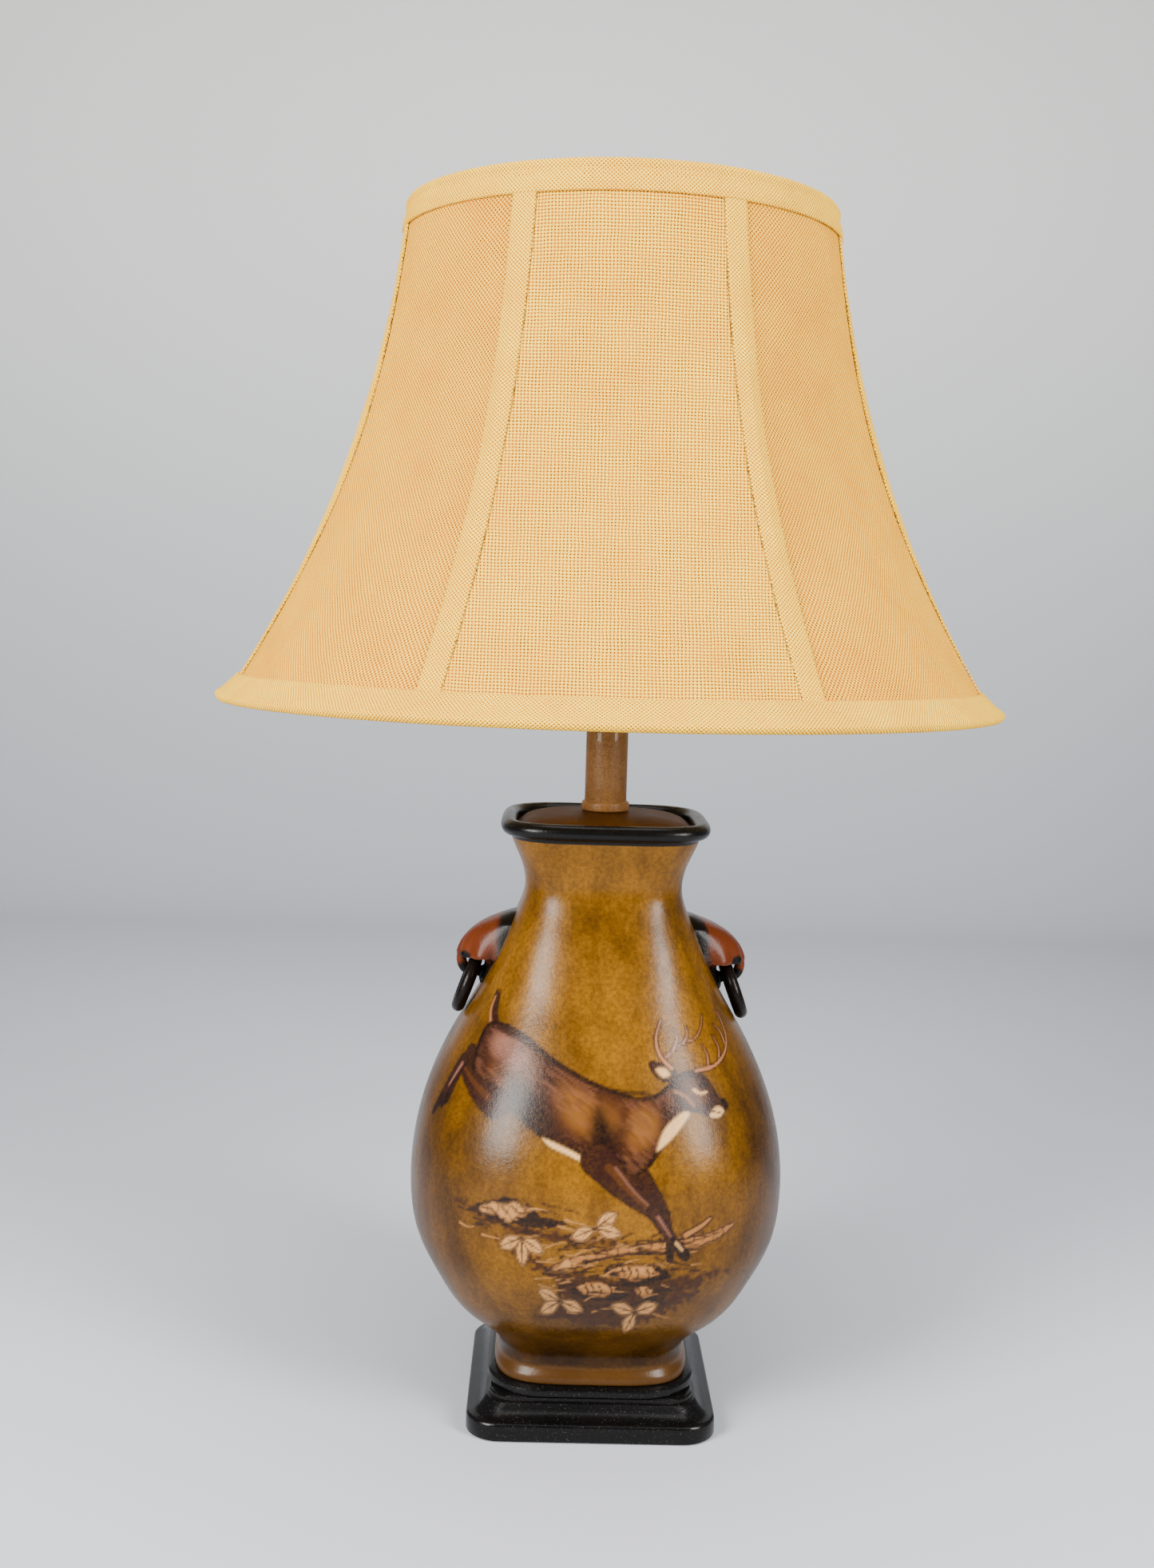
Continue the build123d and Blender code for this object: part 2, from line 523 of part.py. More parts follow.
# ================================================================ socket
CAP_INNER = SOCKET_SHELL_RADIUS + GLUE_GAP
CAP_OUTER = CAP_INNER + SOCKET_SHELL_WALL
HUB_RADIUS = 8.5
HUB_HEIGHT = 7.0
with BuildPart() as socket_cap:
    with BuildSketch(Plane.XZ):
        with BuildLine():
            Polyline((ROD_RADIUS + GLUE_GAP, SOCKET_Z), (HUB_RADIUS, SOCKET_Z), (HUB_RADIUS, SOCKET_Z + HUB_HEIGHT))
            ThreePointArc((HUB_RADIUS, SOCKET_Z + HUB_HEIGHT), (HUB_RADIUS + 6.0, SOCKET_Z + HUB_HEIGHT + 2.2),
                          (CAP_OUTER, SOCKET_Z + HUB_HEIGHT + 7.5))
            Polyline((CAP_OUTER, SOCKET_Z + HUB_HEIGHT + 7.5), (CAP_OUTER, SOCKET_Z + SOCKET_CAP_HEIGHT),
                     (CAP_INNER, SOCKET_Z + SOCKET_CAP_HEIGHT), (CAP_INNER, SOCKET_Z + HUB_HEIGHT + 7.8))
            ThreePointArc((CAP_INNER, SOCKET_Z + HUB_HEIGHT + 7.8), (HUB_RADIUS + 5.4, SOCKET_Z + HUB_HEIGHT + 3.1),
                          (HUB_RADIUS - 0.5, SOCKET_Z + HUB_HEIGHT + 1.0))
            Polyline((HUB_RADIUS - 0.5, SOCKET_Z + HUB_HEIGHT + 1.0), (ROD_RADIUS + GLUE_GAP, SOCKET_Z + HUB_HEIGHT + 1.0),
                     (ROD_RADIUS + GLUE_GAP, SOCKET_Z))
        make_face()
    revolve(axis=Axis.Z)
    with BuildSketch(Plane.YZ):
        with Locations((0, SOCKET_Z + HUB_HEIGHT / 2)):
            Circle(SET_SCREW_RADIUS + GLUE_GAP)
    extrude(amount=HUB_RADIUS + 2, mode=Mode.SUBTRACT)
finish(socket_cap.part, "socket_cap")

with BuildPart() as socket_set_screw:
    with BuildSketch(Plane.YZ.offset(ROD_RADIUS + GLUE_GAP)):
        with Locations((0, SOCKET_Z + HUB_HEIGHT / 2)):
            Circle(SET_SCREW_RADIUS)
    extrude(amount=HUB_RADIUS - ROD_RADIUS + 1.2)
    with BuildSketch(Plane.YZ.offset(HUB_RADIUS + 0.6)):
        with Locations((0, SOCKET_Z + HUB_HEIGHT / 2)):
            Rectangle(0.6, 2 * SET_SCREW_RADIUS + 1)
    extrude(amount=2.0, mode=Mode.SUBTRACT)
finish(socket_set_screw.part, "socket_set_screw")

SHELL_Z = SOCKET_Z + HUB_HEIGHT + 8.0
SHELL_TOP = SOCKET_Z + SOCKET_HEIGHT + HUB_HEIGHT + 8.0
with BuildPart() as socket_shell:
    with BuildSketch(Plane.XY.offset(SHELL_Z)):
        Circle(SOCKET_SHELL_RADIUS)
        Circle(SOCKET_SHELL_RADIUS - SOCKET_SHELL_WALL, mode=Mode.SUBTRACT)
    extrude(amount=SHELL_TOP - SHELL_Z)
    with BuildSketch(Plane.XZ):
        with Locations((0, SWITCH_Z)):
            Circle(SWITCH_SHAFT_RADIUS + LOOSE_GAP)
    extrude(amount=SOCKET_SHELL_RADIUS + 2, mode=Mode.SUBTRACT)
finish(socket_shell.part, "socket_shell")

LINER_OUTER = SOCKET_SHELL_RADIUS - SOCKET_SHELL_WALL - GLUE_GAP
LINER_INNER = LINER_OUTER - SOCKET_LINER_WALL
with BuildPart() as socket_liner:
    with BuildSketch(Plane.XY.offset(SHELL_Z + 1.0)):
        Circle(LINER_OUTER)
        Circle(LINER_INNER, mode=Mode.SUBTRACT)
    extrude(amount=SHELL_TOP - SHELL_Z - 1.0)
    with BuildSketch(Plane.XZ):
        with Locations((0, SWITCH_Z)):
            Circle(SWITCH_SHAFT_RADIUS + LOOSE_GAP)
    extrude(amount=SOCKET_SHELL_RADIUS + 2, mode=Mode.SUBTRACT)
finish(socket_liner.part, "socket_liner")

SCREW_SHELL_INNER = BULB_BASE_RADIUS + LOOSE_GAP
SCREW_SHELL_OUTER = SCREW_SHELL_INNER + SCREW_SHELL_WALL
BODY_RADIUS = LINER_INNER - GLUE_GAP
with BuildPart() as socket_body:
    with BuildSketch(Plane.XY.offset(BODY_Z)):
        Circle(BODY_RADIUS)
    extrude(amount=SOCKET_BODY_HEIGHT)
    with BuildSketch(Plane.XZ):
        with Locations((0, SWITCH_Z)):
            Circle(SWITCH_SHAFT_RADIUS + RUNNING_GAP)
    extrude(amount=BODY_RADIUS + 1, mode=Mode.SUBTRACT)
    with BuildSketch(Plane.YZ.offset(-BODY_RADIUS - 1)):
        with Locations((0, TERMINAL_Z)):
            Circle(TERMINAL_HEAD_RADIUS + GLUE_GAP)
    extrude(amount=TERMINAL_LENGTH + 1, mode=Mode.SUBTRACT)
    with BuildSketch(Plane.YZ.offset(BODY_RADIUS + 1)):
        with Locations((0, TERMINAL_Z)):
            Circle(TERMINAL_HEAD_RADIUS + GLUE_GAP)
    extrude(amount=-TERMINAL_LENGTH - 1, mode=Mode.SUBTRACT)
    with BuildSketch(Plane.XY.offset(SCREW_SHELL_Z - 1.6)):
        Circle(CONTACT_RADIUS + GLUE_GAP)
    extrude(amount=2.0, mode=Mode.SUBTRACT)
finish(socket_body.part, "socket_body")

with BuildPart() as terminal_screws:
    for side in (-1, 1):
        with BuildSketch(Plane.YZ.offset(side * (BODY_RADIUS - TERMINAL_LENGTH + GLUE_GAP))):
            with Locations((0, TERMINAL_Z)):
                Circle(TERMINAL_HEAD_RADIUS)
        extrude(amount=side * (TERMINAL_LENGTH - 5 * GLUE_GAP))
finish(terminal_screws.part, "terminal_screws")

with BuildPart() as socket_screw_shell:
    with BuildSketch(Plane.XY.offset(SCREW_SHELL_Z)):
        Circle(SCREW_SHELL_OUTER)
        Circle(SCREW_SHELL_INNER, mode=Mode.SUBTRACT)
    extrude(amount=SCREW_SHELL_HEIGHT)
finish(socket_screw_shell.part, "socket_screw_shell")

with BuildPart() as centre_contact:
    with BuildSketch(Plane.XY.offset(SCREW_SHELL_Z - 1.5)):
        Circle(CONTACT_RADIUS)
    extrude(amount=1.5)
finish(centre_contact.part, "centre_contact")

# ================================================================ switch
SHAFT_ROOT = BODY_RADIUS - 8.0
KNOB_ROOT = CAP_OUTER + KNOB_STANDOFF
with BuildPart() as switch_shaft:
    with BuildSketch(Plane.XZ.offset(SHAFT_ROOT)):
        with Locations((0, SWITCH_Z)):
            Circle(SWITCH_SHAFT_RADIUS)
    extrude(amount=KNOB_ROOT + KNOB_LENGTH * 0.6 - SHAFT_ROOT)
finish(switch_shaft.part, "switch_shaft")

with BuildPart() as switch_knob:
    with BuildSketch(Plane.XZ.offset(KNOB_ROOT)):
        with Locations((0, SWITCH_Z)):
            Circle(KNOB_RADIUS)
            with PolarLocations(KNOB_RADIUS, 12):
                Circle(0.7, mode=Mode.SUBTRACT)
    extrude(amount=KNOB_LENGTH, taper=4)
    with BuildSketch(Plane.XZ.offset(KNOB_ROOT - 1)):
        with Locations((0, SWITCH_Z)):
            Circle(SWITCH_SHAFT_RADIUS + RUNNING_GAP)
    extrude(amount=KNOB_LENGTH * 0.6 + 1 + GLUE_GAP, mode=Mode.SUBTRACT)
finish(switch_knob.part, "switch_knob")

# ================================================================ bulb
BULB_TOP = BULB_Z + BULB_HEIGHT
BULB_CENTRE = BULB_TOP - BULB_RADIUS
BASE_RIM = BULB_Z + 2.2 + BULB_BASE_HEIGHT
GLASS_NECK = BULB_BASE_RADIUS - 0.6
with BuildPart() as bulb_base:
    with BuildSketch(Plane.XY.offset(BULB_Z + 2.2)):
        Circle(BULB_BASE_RADIUS)
    extrude(amount=BULB_BASE_HEIGHT)
    with BuildSketch(Plane.XY.offset(BULB_Z + 3.4)):
        Circle(GLASS_NECK + GLUE_GAP)
    extrude(amount=BULB_BASE_HEIGHT, mode=Mode.SUBTRACT)
finish(bulb_base.part, "bulb_base")

with BuildPart() as bulb_contact:
    with BuildSketch(Plane.XY.offset(BULB_Z)):
        Circle(CONTACT_RADIUS - 1.2)
    extrude(amount=2.2 - GLUE_GAP / 2)
    chamfer(bulb_contact.edges().sort_by(Axis.Z)[0], length=0.8)
finish(bulb_contact.part, "bulb_contact")


def bulb_outline(inset):
    """Half outline of the glass, inset by the wall; it closes on the axis."""
    radius = BULB_RADIUS - inset
    neck = GLASS_NECK - inset
    with BuildSketch(Plane.XZ) as half:
        with BuildLine():
            Line((0, BASE_RIM - 10 + inset), (neck, BASE_RIM - 10 + inset))
            Line((neck, BASE_RIM - 10 + inset), (neck, BASE_RIM + 2))
            Spline((neck, BASE_RIM + 2), (neck + 5.6, BASE_RIM + 22), (radius, BULB_CENTRE), tangents=((0, 1), (0, 1)))
            ThreePointArc((radius, BULB_CENTRE), (radius * cos(pi / 4), BULB_CENTRE + radius * sin(pi / 4)),
                          (0, BULB_CENTRE + radius))
            Line((0, BULB_CENTRE + radius), (0, BASE_RIM - 10 + inset))
        make_face()
    return half.sketch


with BuildPart() as bulb_glass:
    revolve(bulb_outline(0.0), axis=Axis.Z)
    revolve(bulb_outline(GLASS_WALL), axis=Axis.Z, mode=Mode.SUBTRACT)
    with BuildSketch(Plane.XY.offset(BASE_RIM - 12)):
        Circle(STEM_RADIUS + GLUE_GAP)
    extrude(amount=4, mode=Mode.SUBTRACT)
finish(bulb_glass.part, "bulb_glass")

with BuildPart() as bulb_stem:
    with BuildSketch(Plane.XY.offset(BASE_RIM - 9.5)):
        Circle(STEM_RADIUS)
    extrude(amount=34)
    with BuildSketch(Plane.XY.offset(BASE_RIM + 24)):
        Circle(STEM_RADIUS + 1.2)
    extrude(amount=2.0)
finish(bulb_stem.part, "bulb_stem")

with BuildPart() as bulb_filament:
    with BuildLine() as filament_line:
        Polyline((-3.0, 0, BASE_RIM + 26.2), (-11.0, 0, BULB_CENTRE + 4), (11.0, 0, BULB_CENTRE + 4),
                 (3.0, 0, BASE_RIM + 26.2))
    with BuildSketch(Plane(origin=(-3.0, 0, BASE_RIM + 26.2), z_dir=(-8.0, 0, BULB_CENTRE - BASE_RIM - 22.2))):
        Circle(0.35)
    sweep(path=filament_line.wire(), transition=Transition.RIGHT)
finish(bulb_filament.part, "bulb_filament")

# ================================================================ harp, its sleeves and the finial
LEG_TOP = TANG_TOP + LOOSE_GAP + HARP_LEG
HARP_WIRE_TOP = HARP_TOP - TOP_PLATE_THICKNESS - HARP_WIRE_RADIUS
HARP_RISE = HARP_WIRE_TOP - LEG_TOP
with BuildPart() as harp_wire:
    with BuildLine(Plane.XZ) as harp_line:
        Line((SADDLE_ARM, TANG_TOP + LOOSE_GAP), (SADDLE_ARM, LEG_TOP))
        Spline((SADDLE_ARM, LEG_TOP), (HARP_HALF_WIDTH * 0.86, LEG_TOP + HARP_RISE * 0.26),
               (HARP_HALF_WIDTH, LEG_TOP + HARP_RISE * 0.52), (HARP_HALF_WIDTH * 0.84, LEG_TOP + HARP_RISE * 0.78),
               (HARP_HALF_WIDTH * 0.42, LEG_TOP + HARP_RISE * 0.965), (0, HARP_WIRE_TOP),
               tangents=((0, 1), (-1, 0)))
        mirror(about=Plane.YZ)
    with BuildSketch(Plane.XY.offset(TANG_TOP + LOOSE_GAP)):
        with Locations((SADDLE_ARM, 0)):
            Circle(HARP_WIRE_RADIUS)
    sweep(path=harp_line.wire())
finish(harp_wire.part, "harp_wire")

with BuildPart() as harp_top_plate:
    with BuildSketch(Plane.XY.offset(HARP_TOP - TOP_PLATE_THICKNESS)):
        Circle(TOP_PLATE_RADIUS)
        Circle(STUD_RADIUS + GLUE_GAP, mode=Mode.SUBTRACT)
    extrude(amount=TOP_PLATE_THICKNESS)
finish(harp_top_plate.part, "harp_top_plate")

with BuildPart() as harp_stud:
    with BuildSketch(Plane.XY.offset(HARP_TOP - TOP_PLATE_THICKNESS + GLUE_GAP)):
        Circle(STUD_RADIUS)
    extrude(amount=TOP_PLATE_THICKNESS + STUD_LENGTH)
    chamfer(harp_stud.edges().sort_by(Axis.Z)[-1], length=0.6)
finish(harp_stud.part, "harp_stud")

SLEEVE_BORE = sqrt((TANG_WIDTH / 2) ** 2 + 1) + LOOSE_GAP
for side, word in ((-1, "left"), (1, "right")):
    with BuildPart() as harp_sleeve:
        with BuildSketch(Plane.XY.offset(SADDLE_Z + 6 + SADDLE_THICKNESS + LOOSE_GAP + 0.8)):
            with Locations((side * SADDLE_ARM, 0)):
                Circle(SLEEVE_RADIUS)
                Circle(SLEEVE_BORE, mode=Mode.SUBTRACT)
        extrude(amount=SLEEVE_LENGTH)
        chamfer(harp_sleeve.edges().filter_by(GeomType.CIRCLE).group_by(SortBy.RADIUS)[-1], length=0.5)
    finish(harp_sleeve.part, f"harp_sleeve_{word}")

FINIAL_Z = SPIDER_Z + WASHER_THICKNESS + LOOSE_GAP
with BuildPart() as finial:
    with BuildSketch(Plane.XZ):
        with BuildLine():
            Polyline((0, FINIAL_Z), (FINIAL_RADIUS * 0.8, FINIAL_Z), (FINIAL_RADIUS * 0.8, FINIAL_Z + 3.0),
                     (FINIAL_RADIUS * 0.5, FINIAL_Z + 4.5))
            Spline((FINIAL_RADIUS * 0.5, FINIAL_Z + 4.5), (FINIAL_RADIUS, FINIAL_Z + FINIAL_HEIGHT * 0.45),
                   (FINIAL_RADIUS * 0.4, FINIAL_Z + FINIAL_HEIGHT * 0.8), (0, FINIAL_Z + FINIAL_HEIGHT),
                   tangents=((0.3, 1), (-1, 0)))
            Line((0, FINIAL_Z + FINIAL_HEIGHT), (0, FINIAL_Z))
        make_face()
    revolve(axis=Axis.Z)
    with BuildSketch(Plane.XY.offset(FINIAL_Z - 1)):
        Circle(STUD_RADIUS + RUNNING_GAP)
    extrude(amount=STUD_LENGTH - WASHER_THICKNESS + 1.5, mode=Mode.SUBTRACT)
finish(finial.part, "finial")

# ================================================================ shade: wire frame
RIB_INSET = CLOTH + RIB_WIRE_RADIUS + GLUE_GAP
RING_INSET = CLOTH + RING_WIRE_RADIUS + GLUE_GAP
BOTTOM_RING_Z = SHADE_BOTTOM_Z + 3.8
TOP_RING_Z = SHADE_TOP_Z - 4.2
BOTTOM_RING_RADIUS = rib_radius(BOTTOM_RING_Z, RING_INSET)
TOP_RING_RADIUS = rib_radius(TOP_RING_Z, RING_INSET)
with BuildPart() as shade_bottom_ring:
    with Locations((0, 0, BOTTOM_RING_Z)):
        Torus(BOTTOM_RING_RADIUS, RING_WIRE_RADIUS)
finish(shade_bottom_ring.part, "shade_bottom_ring")

with BuildPart() as shade_top_ring:
    with Locations((0, 0, TOP_RING_Z)):
        Torus(TOP_RING_RADIUS, RING_WIRE_RADIUS)
finish(shade_top_ring.part, "shade_top_ring")


def rib_turn(index):
    """Direction of a rib in degrees; the first panel faces the front."""
    return -90.0 + degrees(HALF_PANEL) * (2 * index + 1)


def panel_turn(index):
    """Direction of a panel's middle in degrees."""
    return -90.0 + degrees(HALF_PANEL) * 2 * index


RIB_LOW = BOTTOM_RING_Z + RING_WIRE_RADIUS + 0.4
RIB_HIGH = TOP_RING_Z - RING_WIRE_RADIUS - 0.4
RIB_MIDDLE = (RIB_LOW + RIB_HIGH) / 2
with BuildPart() as shade_ribs:
    for index in range(PANEL_COUNT):
        rib_plane = Plane(origin=(0, 0, 0), x_dir=Vector(1, 0, 0).rotate(Axis.Z, rib_turn(index)),
                          z_dir=Vector(0, -1, 0).rotate(Axis.Z, rib_turn(index)))
        with BuildLine(rib_plane) as rib_line:
            ThreePointArc((rib_radius(RIB_LOW, RIB_INSET), RIB_LOW), (rib_radius(RIB_MIDDLE, RIB_INSET), RIB_MIDDLE),
                          (rib_radius(RIB_HIGH, RIB_INSET), RIB_HIGH))
        with BuildSketch(Plane(rib_line.line @ 0, z_dir=rib_line.line % 0)):
            Circle(RIB_WIRE_RADIUS)
        sweep(path=rib_line.line)
finish(shade_ribs.part, "shade_ribs")

ARM_START = TOP_PLATE_RADIUS + 1.0
with BuildPart() as shade_spider:
    with BuildSketch(Plane.XY.offset(SPIDER_Z)):
        Circle(SPIDER_WASHER_RADIUS)
        Circle(STUD_RADIUS + LOOSE_GAP, mode=Mode.SUBTRACT)
    extrude(amount=WASHER_THICKNESS)
    for index in range(SPIDER_ARMS):
        turn = rib_turn(0) + 60.0 + 360.0 / SPIDER_ARMS * index
        arm_plane = Plane(origin=(0, 0, 0), x_dir=Vector(1, 0, 0).rotate(Axis.Z, turn),
                          z_dir=Vector(0, -1, 0).rotate(Axis.Z, turn))
        arm_z = SPIDER_Z + SPIDER_WIRE_RADIUS
        arm_end = TOP_RING_RADIUS - RING_WIRE_RADIUS - GLUE_GAP
        with BuildLine(arm_plane) as arm_line:
            Spline((ARM_START, arm_z), (ARM_START + 22, arm_z), (arm_end - 24, arm_z + (TOP_RING_Z - arm_z) * 0.85),
                   (arm_end, TOP_RING_Z), tangents=((1, 0), (1, 0)))
        with BuildSketch(Plane(arm_line.line @ 0, z_dir=arm_line.line % 0)):
            Circle(SPIDER_WIRE_RADIUS)
        sweep(path=arm_line.line)
finish(shade_spider.part, "shade_spider")

# ================================================================ shade: cloth
TAPE_LOW = SHADE_BOTTOM_Z + BOTTOM_TRIM_HEIGHT + 0.3
TAPE_HIGH = SHADE_TOP_Z - TOP_TRIM_HEIGHT - 0.3
CLOTH_LOW = SHADE_BOTTOM_Z + 1.6
CLOTH_HIGH = SHADE_TOP_Z - 1.6
for index in range(PANEL_COUNT):
    with BuildPart() as shade_panel:
        for z in [CLOTH_LOW, *shade_levels(TAPE_LOW, TAPE_HIGH, 7), CLOTH_HIGH]:
            with BuildSketch(Plane.XY.offset(z).rotated((0, 0, panel_turn(index)))):
                with BuildLine():
                    outer_left, outer_middle, outer_right = arc_points(z, 0.0, GLUE_GAP)
                    inner_left, inner_middle, inner_right = arc_points(z, CLOTH, GLUE_GAP)
                    ThreePointArc(outer_left, outer_middle, outer_right)
                    Line(outer_right, inner_right)
                    ThreePointArc(inner_right, inner_middle, inner_left)
                    Line(inner_left, outer_left)
                make_face()
        loft()
    finish(shade_panel.part, f"shade_panel_{index + 1}")


def liner_section(z, inset):
    """Closed section of the lining at height z, one arc for each panel."""
    with BuildSketch(Plane.XY.offset(z)) as section:
        with BuildLine():
            for index in range(PANEL_COUNT):
                ends = [Vector(*point, 0).rotate(Axis.Z, panel_turn(index)) for point in arc_points(z, inset)]
                ThreePointArc(*ends)
        make_face()
    return section.sketch.face()


LINER_LOW = BOTTOM_RING_Z + RING_WIRE_RADIUS + 0.5
LINER_HIGH = TOP_RING_Z - RING_WIRE_RADIUS - 0.5
LINER_INSET = CLOTH + 2 * RIB_WIRE_RADIUS + 3 * GLUE_GAP
with BuildPart() as shade_liner:
    levels = [LINER_LOW, *shade_levels(TAPE_LOW, TAPE_HIGH, 7), LINER_HIGH]
    loft([liner_section(z, LINER_INSET) for z in levels])
    loft([liner_section(z, LINER_INSET + LINER) for z in levels], mode=Mode.SUBTRACT)
finish(shade_liner.part, "shade_liner")


def seam_wing_lean(z):
    """How far a panel leans back from its seam at height z, in radians."""
    corner = rib_radius(z)
    half_chord = corner * sin(HALF_PANEL)
    bow = corner * roundness(z) * (1 - cos(HALF_PANEL))
    return HALF_PANEL - 2 * atan(bow / half_chord)


with BuildPart() as seam_tapes:
    for index in range(PANEL_COUNT):
        for z in shade_levels(TAPE_LOW, TAPE_HIGH, 7):
            corner = rib_radius(z) + 2 * GLUE_GAP
            lean = seam_wing_lean(z)
            run = TAPE_HALF_WIDTH * cos(lean)
            drop = TAPE_HALF_WIDTH * sin(lean) + 0.06
            with BuildSketch(Plane.XY.offset(z).rotated((0, 0, rib_turn(index)))):
                with BuildLine():
                    Polyline((corner, 0), (corner - drop, run), (corner + TAPE - drop, run), (corner + TAPE, 0),
                             (corner + TAPE - drop, -run), (corner - drop, -run), close=True)
                make_face()
        loft()
finish(seam_tapes.part, "seam_tapes")


HEM_LOW = TOP_RING_Z + SPIDER_WIRE_RADIUS + LOOSE_GAP
with BuildPart() as top_trim:
    low = SHADE_TOP_Z - TOP_TRIM_HEIGHT
    hem = rib_radius(SHADE_TOP_Z, LINER_INSET + 1.4)
    with BuildSketch(Plane.XZ):
        with BuildLine():
            Polyline((rib_radius(low) + 3 * GLUE_GAP, low), (rib_radius(low) + TOP_TRIM_PROUD, low),
                     (rib_radius(SHADE_TOP_Z) + TOP_TRIM_PROUD, SHADE_TOP_Z - 0.6),
                     (rib_radius(SHADE_TOP_Z) + TOP_TRIM_PROUD - 0.6, SHADE_TOP_Z),
                     (hem, SHADE_TOP_Z), (hem, HEM_LOW), (hem + 0.8, HEM_LOW),
                     (hem + 0.8, SHADE_TOP_Z - 1.3), (rib_radius(SHADE_TOP_Z) + 3 * GLUE_GAP, SHADE_TOP_Z - 1.3),
                     close=True)
        make_face()
    revolve(axis=Axis.Z)
finish(top_trim.part, "top_trim")

with BuildPart() as bottom_trim:
    high = SHADE_BOTTOM_Z + BOTTOM_TRIM_HEIGHT
    middle = SHADE_BOTTOM_Z + BOTTOM_TRIM_HEIGHT / 2
    hem = rib_radius(SHADE_BOTTOM_Z, LINER_INSET + 2.0)
    with BuildSketch(Plane.XZ):
        with BuildLine():
            Polyline((rib_radius(high) + 3 * GLUE_GAP, high), (rib_radius(high) + BOTTOM_TRIM_PROUD - 1.2, high),
                     (rib_radius(middle) + BOTTOM_TRIM_PROUD + 0.4, middle),
                     (rib_radius(SHADE_BOTTOM_Z) + BOTTOM_TRIM_PROUD + 0.6, SHADE_BOTTOM_Z + 2.0),
                     (rib_radius(SHADE_BOTTOM_Z) + BOTTOM_TRIM_PROUD - 1.4, SHADE_BOTTOM_Z),
                     (hem - 1.0, SHADE_BOTTOM_Z), (hem - 6.5, SHADE_BOTTOM_Z + 9.5), (hem - 5.7, SHADE_BOTTOM_Z + 9.7),
                     (hem - 0.4, SHADE_BOTTOM_Z + 1.2), (rib_radius(CLOTH_LOW) + 3 * GLUE_GAP, SHADE_BOTTOM_Z + 1.2),
                     (rib_radius(middle) + 3 * GLUE_GAP, middle), close=True)
        make_face()
    revolve(axis=Axis.Z)
finish(bottom_trim.part, "bottom_trim")
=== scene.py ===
"""The looks of a table lamp: a painted ceramic vase with ring handles under a seven-panel burlap bell shade.

Shapes are worked out in millimetres in the lamp's own frame, with its front towards -Y, and become metres
when a mesh is made.  Each sub-assembly is a class that builds its pieces, and each finish is a small
frozen class.
"""
import logging
import math
from dataclasses import dataclass, field
from enum import Enum
from typing import Sequence

import bmesh
import bpy
import numpy as np
from mathutils import Matrix


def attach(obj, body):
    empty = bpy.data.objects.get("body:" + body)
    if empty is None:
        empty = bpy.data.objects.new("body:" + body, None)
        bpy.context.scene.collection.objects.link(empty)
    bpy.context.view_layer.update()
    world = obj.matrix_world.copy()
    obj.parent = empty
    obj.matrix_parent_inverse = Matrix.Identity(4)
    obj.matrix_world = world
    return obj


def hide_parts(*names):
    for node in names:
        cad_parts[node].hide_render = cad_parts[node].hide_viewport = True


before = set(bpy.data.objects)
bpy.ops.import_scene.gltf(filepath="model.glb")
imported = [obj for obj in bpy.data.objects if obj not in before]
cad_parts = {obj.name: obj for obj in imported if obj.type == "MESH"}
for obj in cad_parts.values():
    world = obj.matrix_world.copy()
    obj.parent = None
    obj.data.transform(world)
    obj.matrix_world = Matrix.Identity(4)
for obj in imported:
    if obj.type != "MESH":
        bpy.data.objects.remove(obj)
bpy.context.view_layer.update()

MM = 0.001
LOG = logging.getLogger("table_lamp")
Colour = tuple[float, float, float]
Place = tuple[float, float]
Array = np.ndarray
Piece = bpy.types.Object
Node = bpy.types.Node
Socket = bpy.types.NodeSocket
Tree = bpy.types.NodeTree
Sockets = bpy.types.bpy_prop_collection
LATTICE = 97


class Weave(Enum):
    """How a burlap piece was cut from its bolt: the turn of its threads in degrees."""

    STRAIGHT = 0.0
    BIAS = 45.0


def paint(red: int, green: int, blue: int) -> Colour:
    """A colour given as on a paint chart, 0 to 255, as linear light."""
    chart = np.array([red, green, blue]) / 255.0
    linear = np.where(chart <= 0.04045, chart / 12.92, ((chart + 0.055) / 1.055) ** 2.4)
    return tuple(float(part) for part in linear)


def ease(value: Array, low: float, high: float) -> Array:
    """0 below low, 1 above high and a smooth S between."""
    share = np.clip((value - low) / (high - low), 0.0, 1.0)
    return share * share * (3.0 - 2.0 * share)


def natural_curve(knots: Sequence[float], values: Sequence[float], at: Array) -> Array:
    """The natural cubic through the knots, worked out at the places in at.

    Args:
        knots: Rising places of the given values.
        values: One value for each knot.
        at: Places where the curve is wanted.

    Returns:
        The curve's value at each place.
    """
    x, y = np.asarray(knots, float), np.asarray(values, float)
    gap, count = np.diff(x), len(x)
    system, right = np.eye(count), np.zeros(count)
    for row in range(1, count - 1):
        system[row, row - 1:row + 2] = gap[row - 1], 2 * (gap[row - 1] + gap[row]), gap[row]
        right[row] = 6 * ((y[row + 1] - y[row]) / gap[row] - (y[row] - y[row - 1]) / gap[row - 1])
    bend = np.linalg.solve(system, right)
    span = np.clip(np.searchsorted(x, at, side="right") - 1, 0, count - 2)
    near, far, width = at - x[span], x[span + 1] - at, gap[span]
    straight = ((y[span] / width - bend[span] * width / 6) * far
                + (y[span + 1] / width - bend[span + 1] * width / 6) * near)
    return straight + (bend[span] * far ** 3 + bend[span + 1] * near ** 3) / (6 * width)


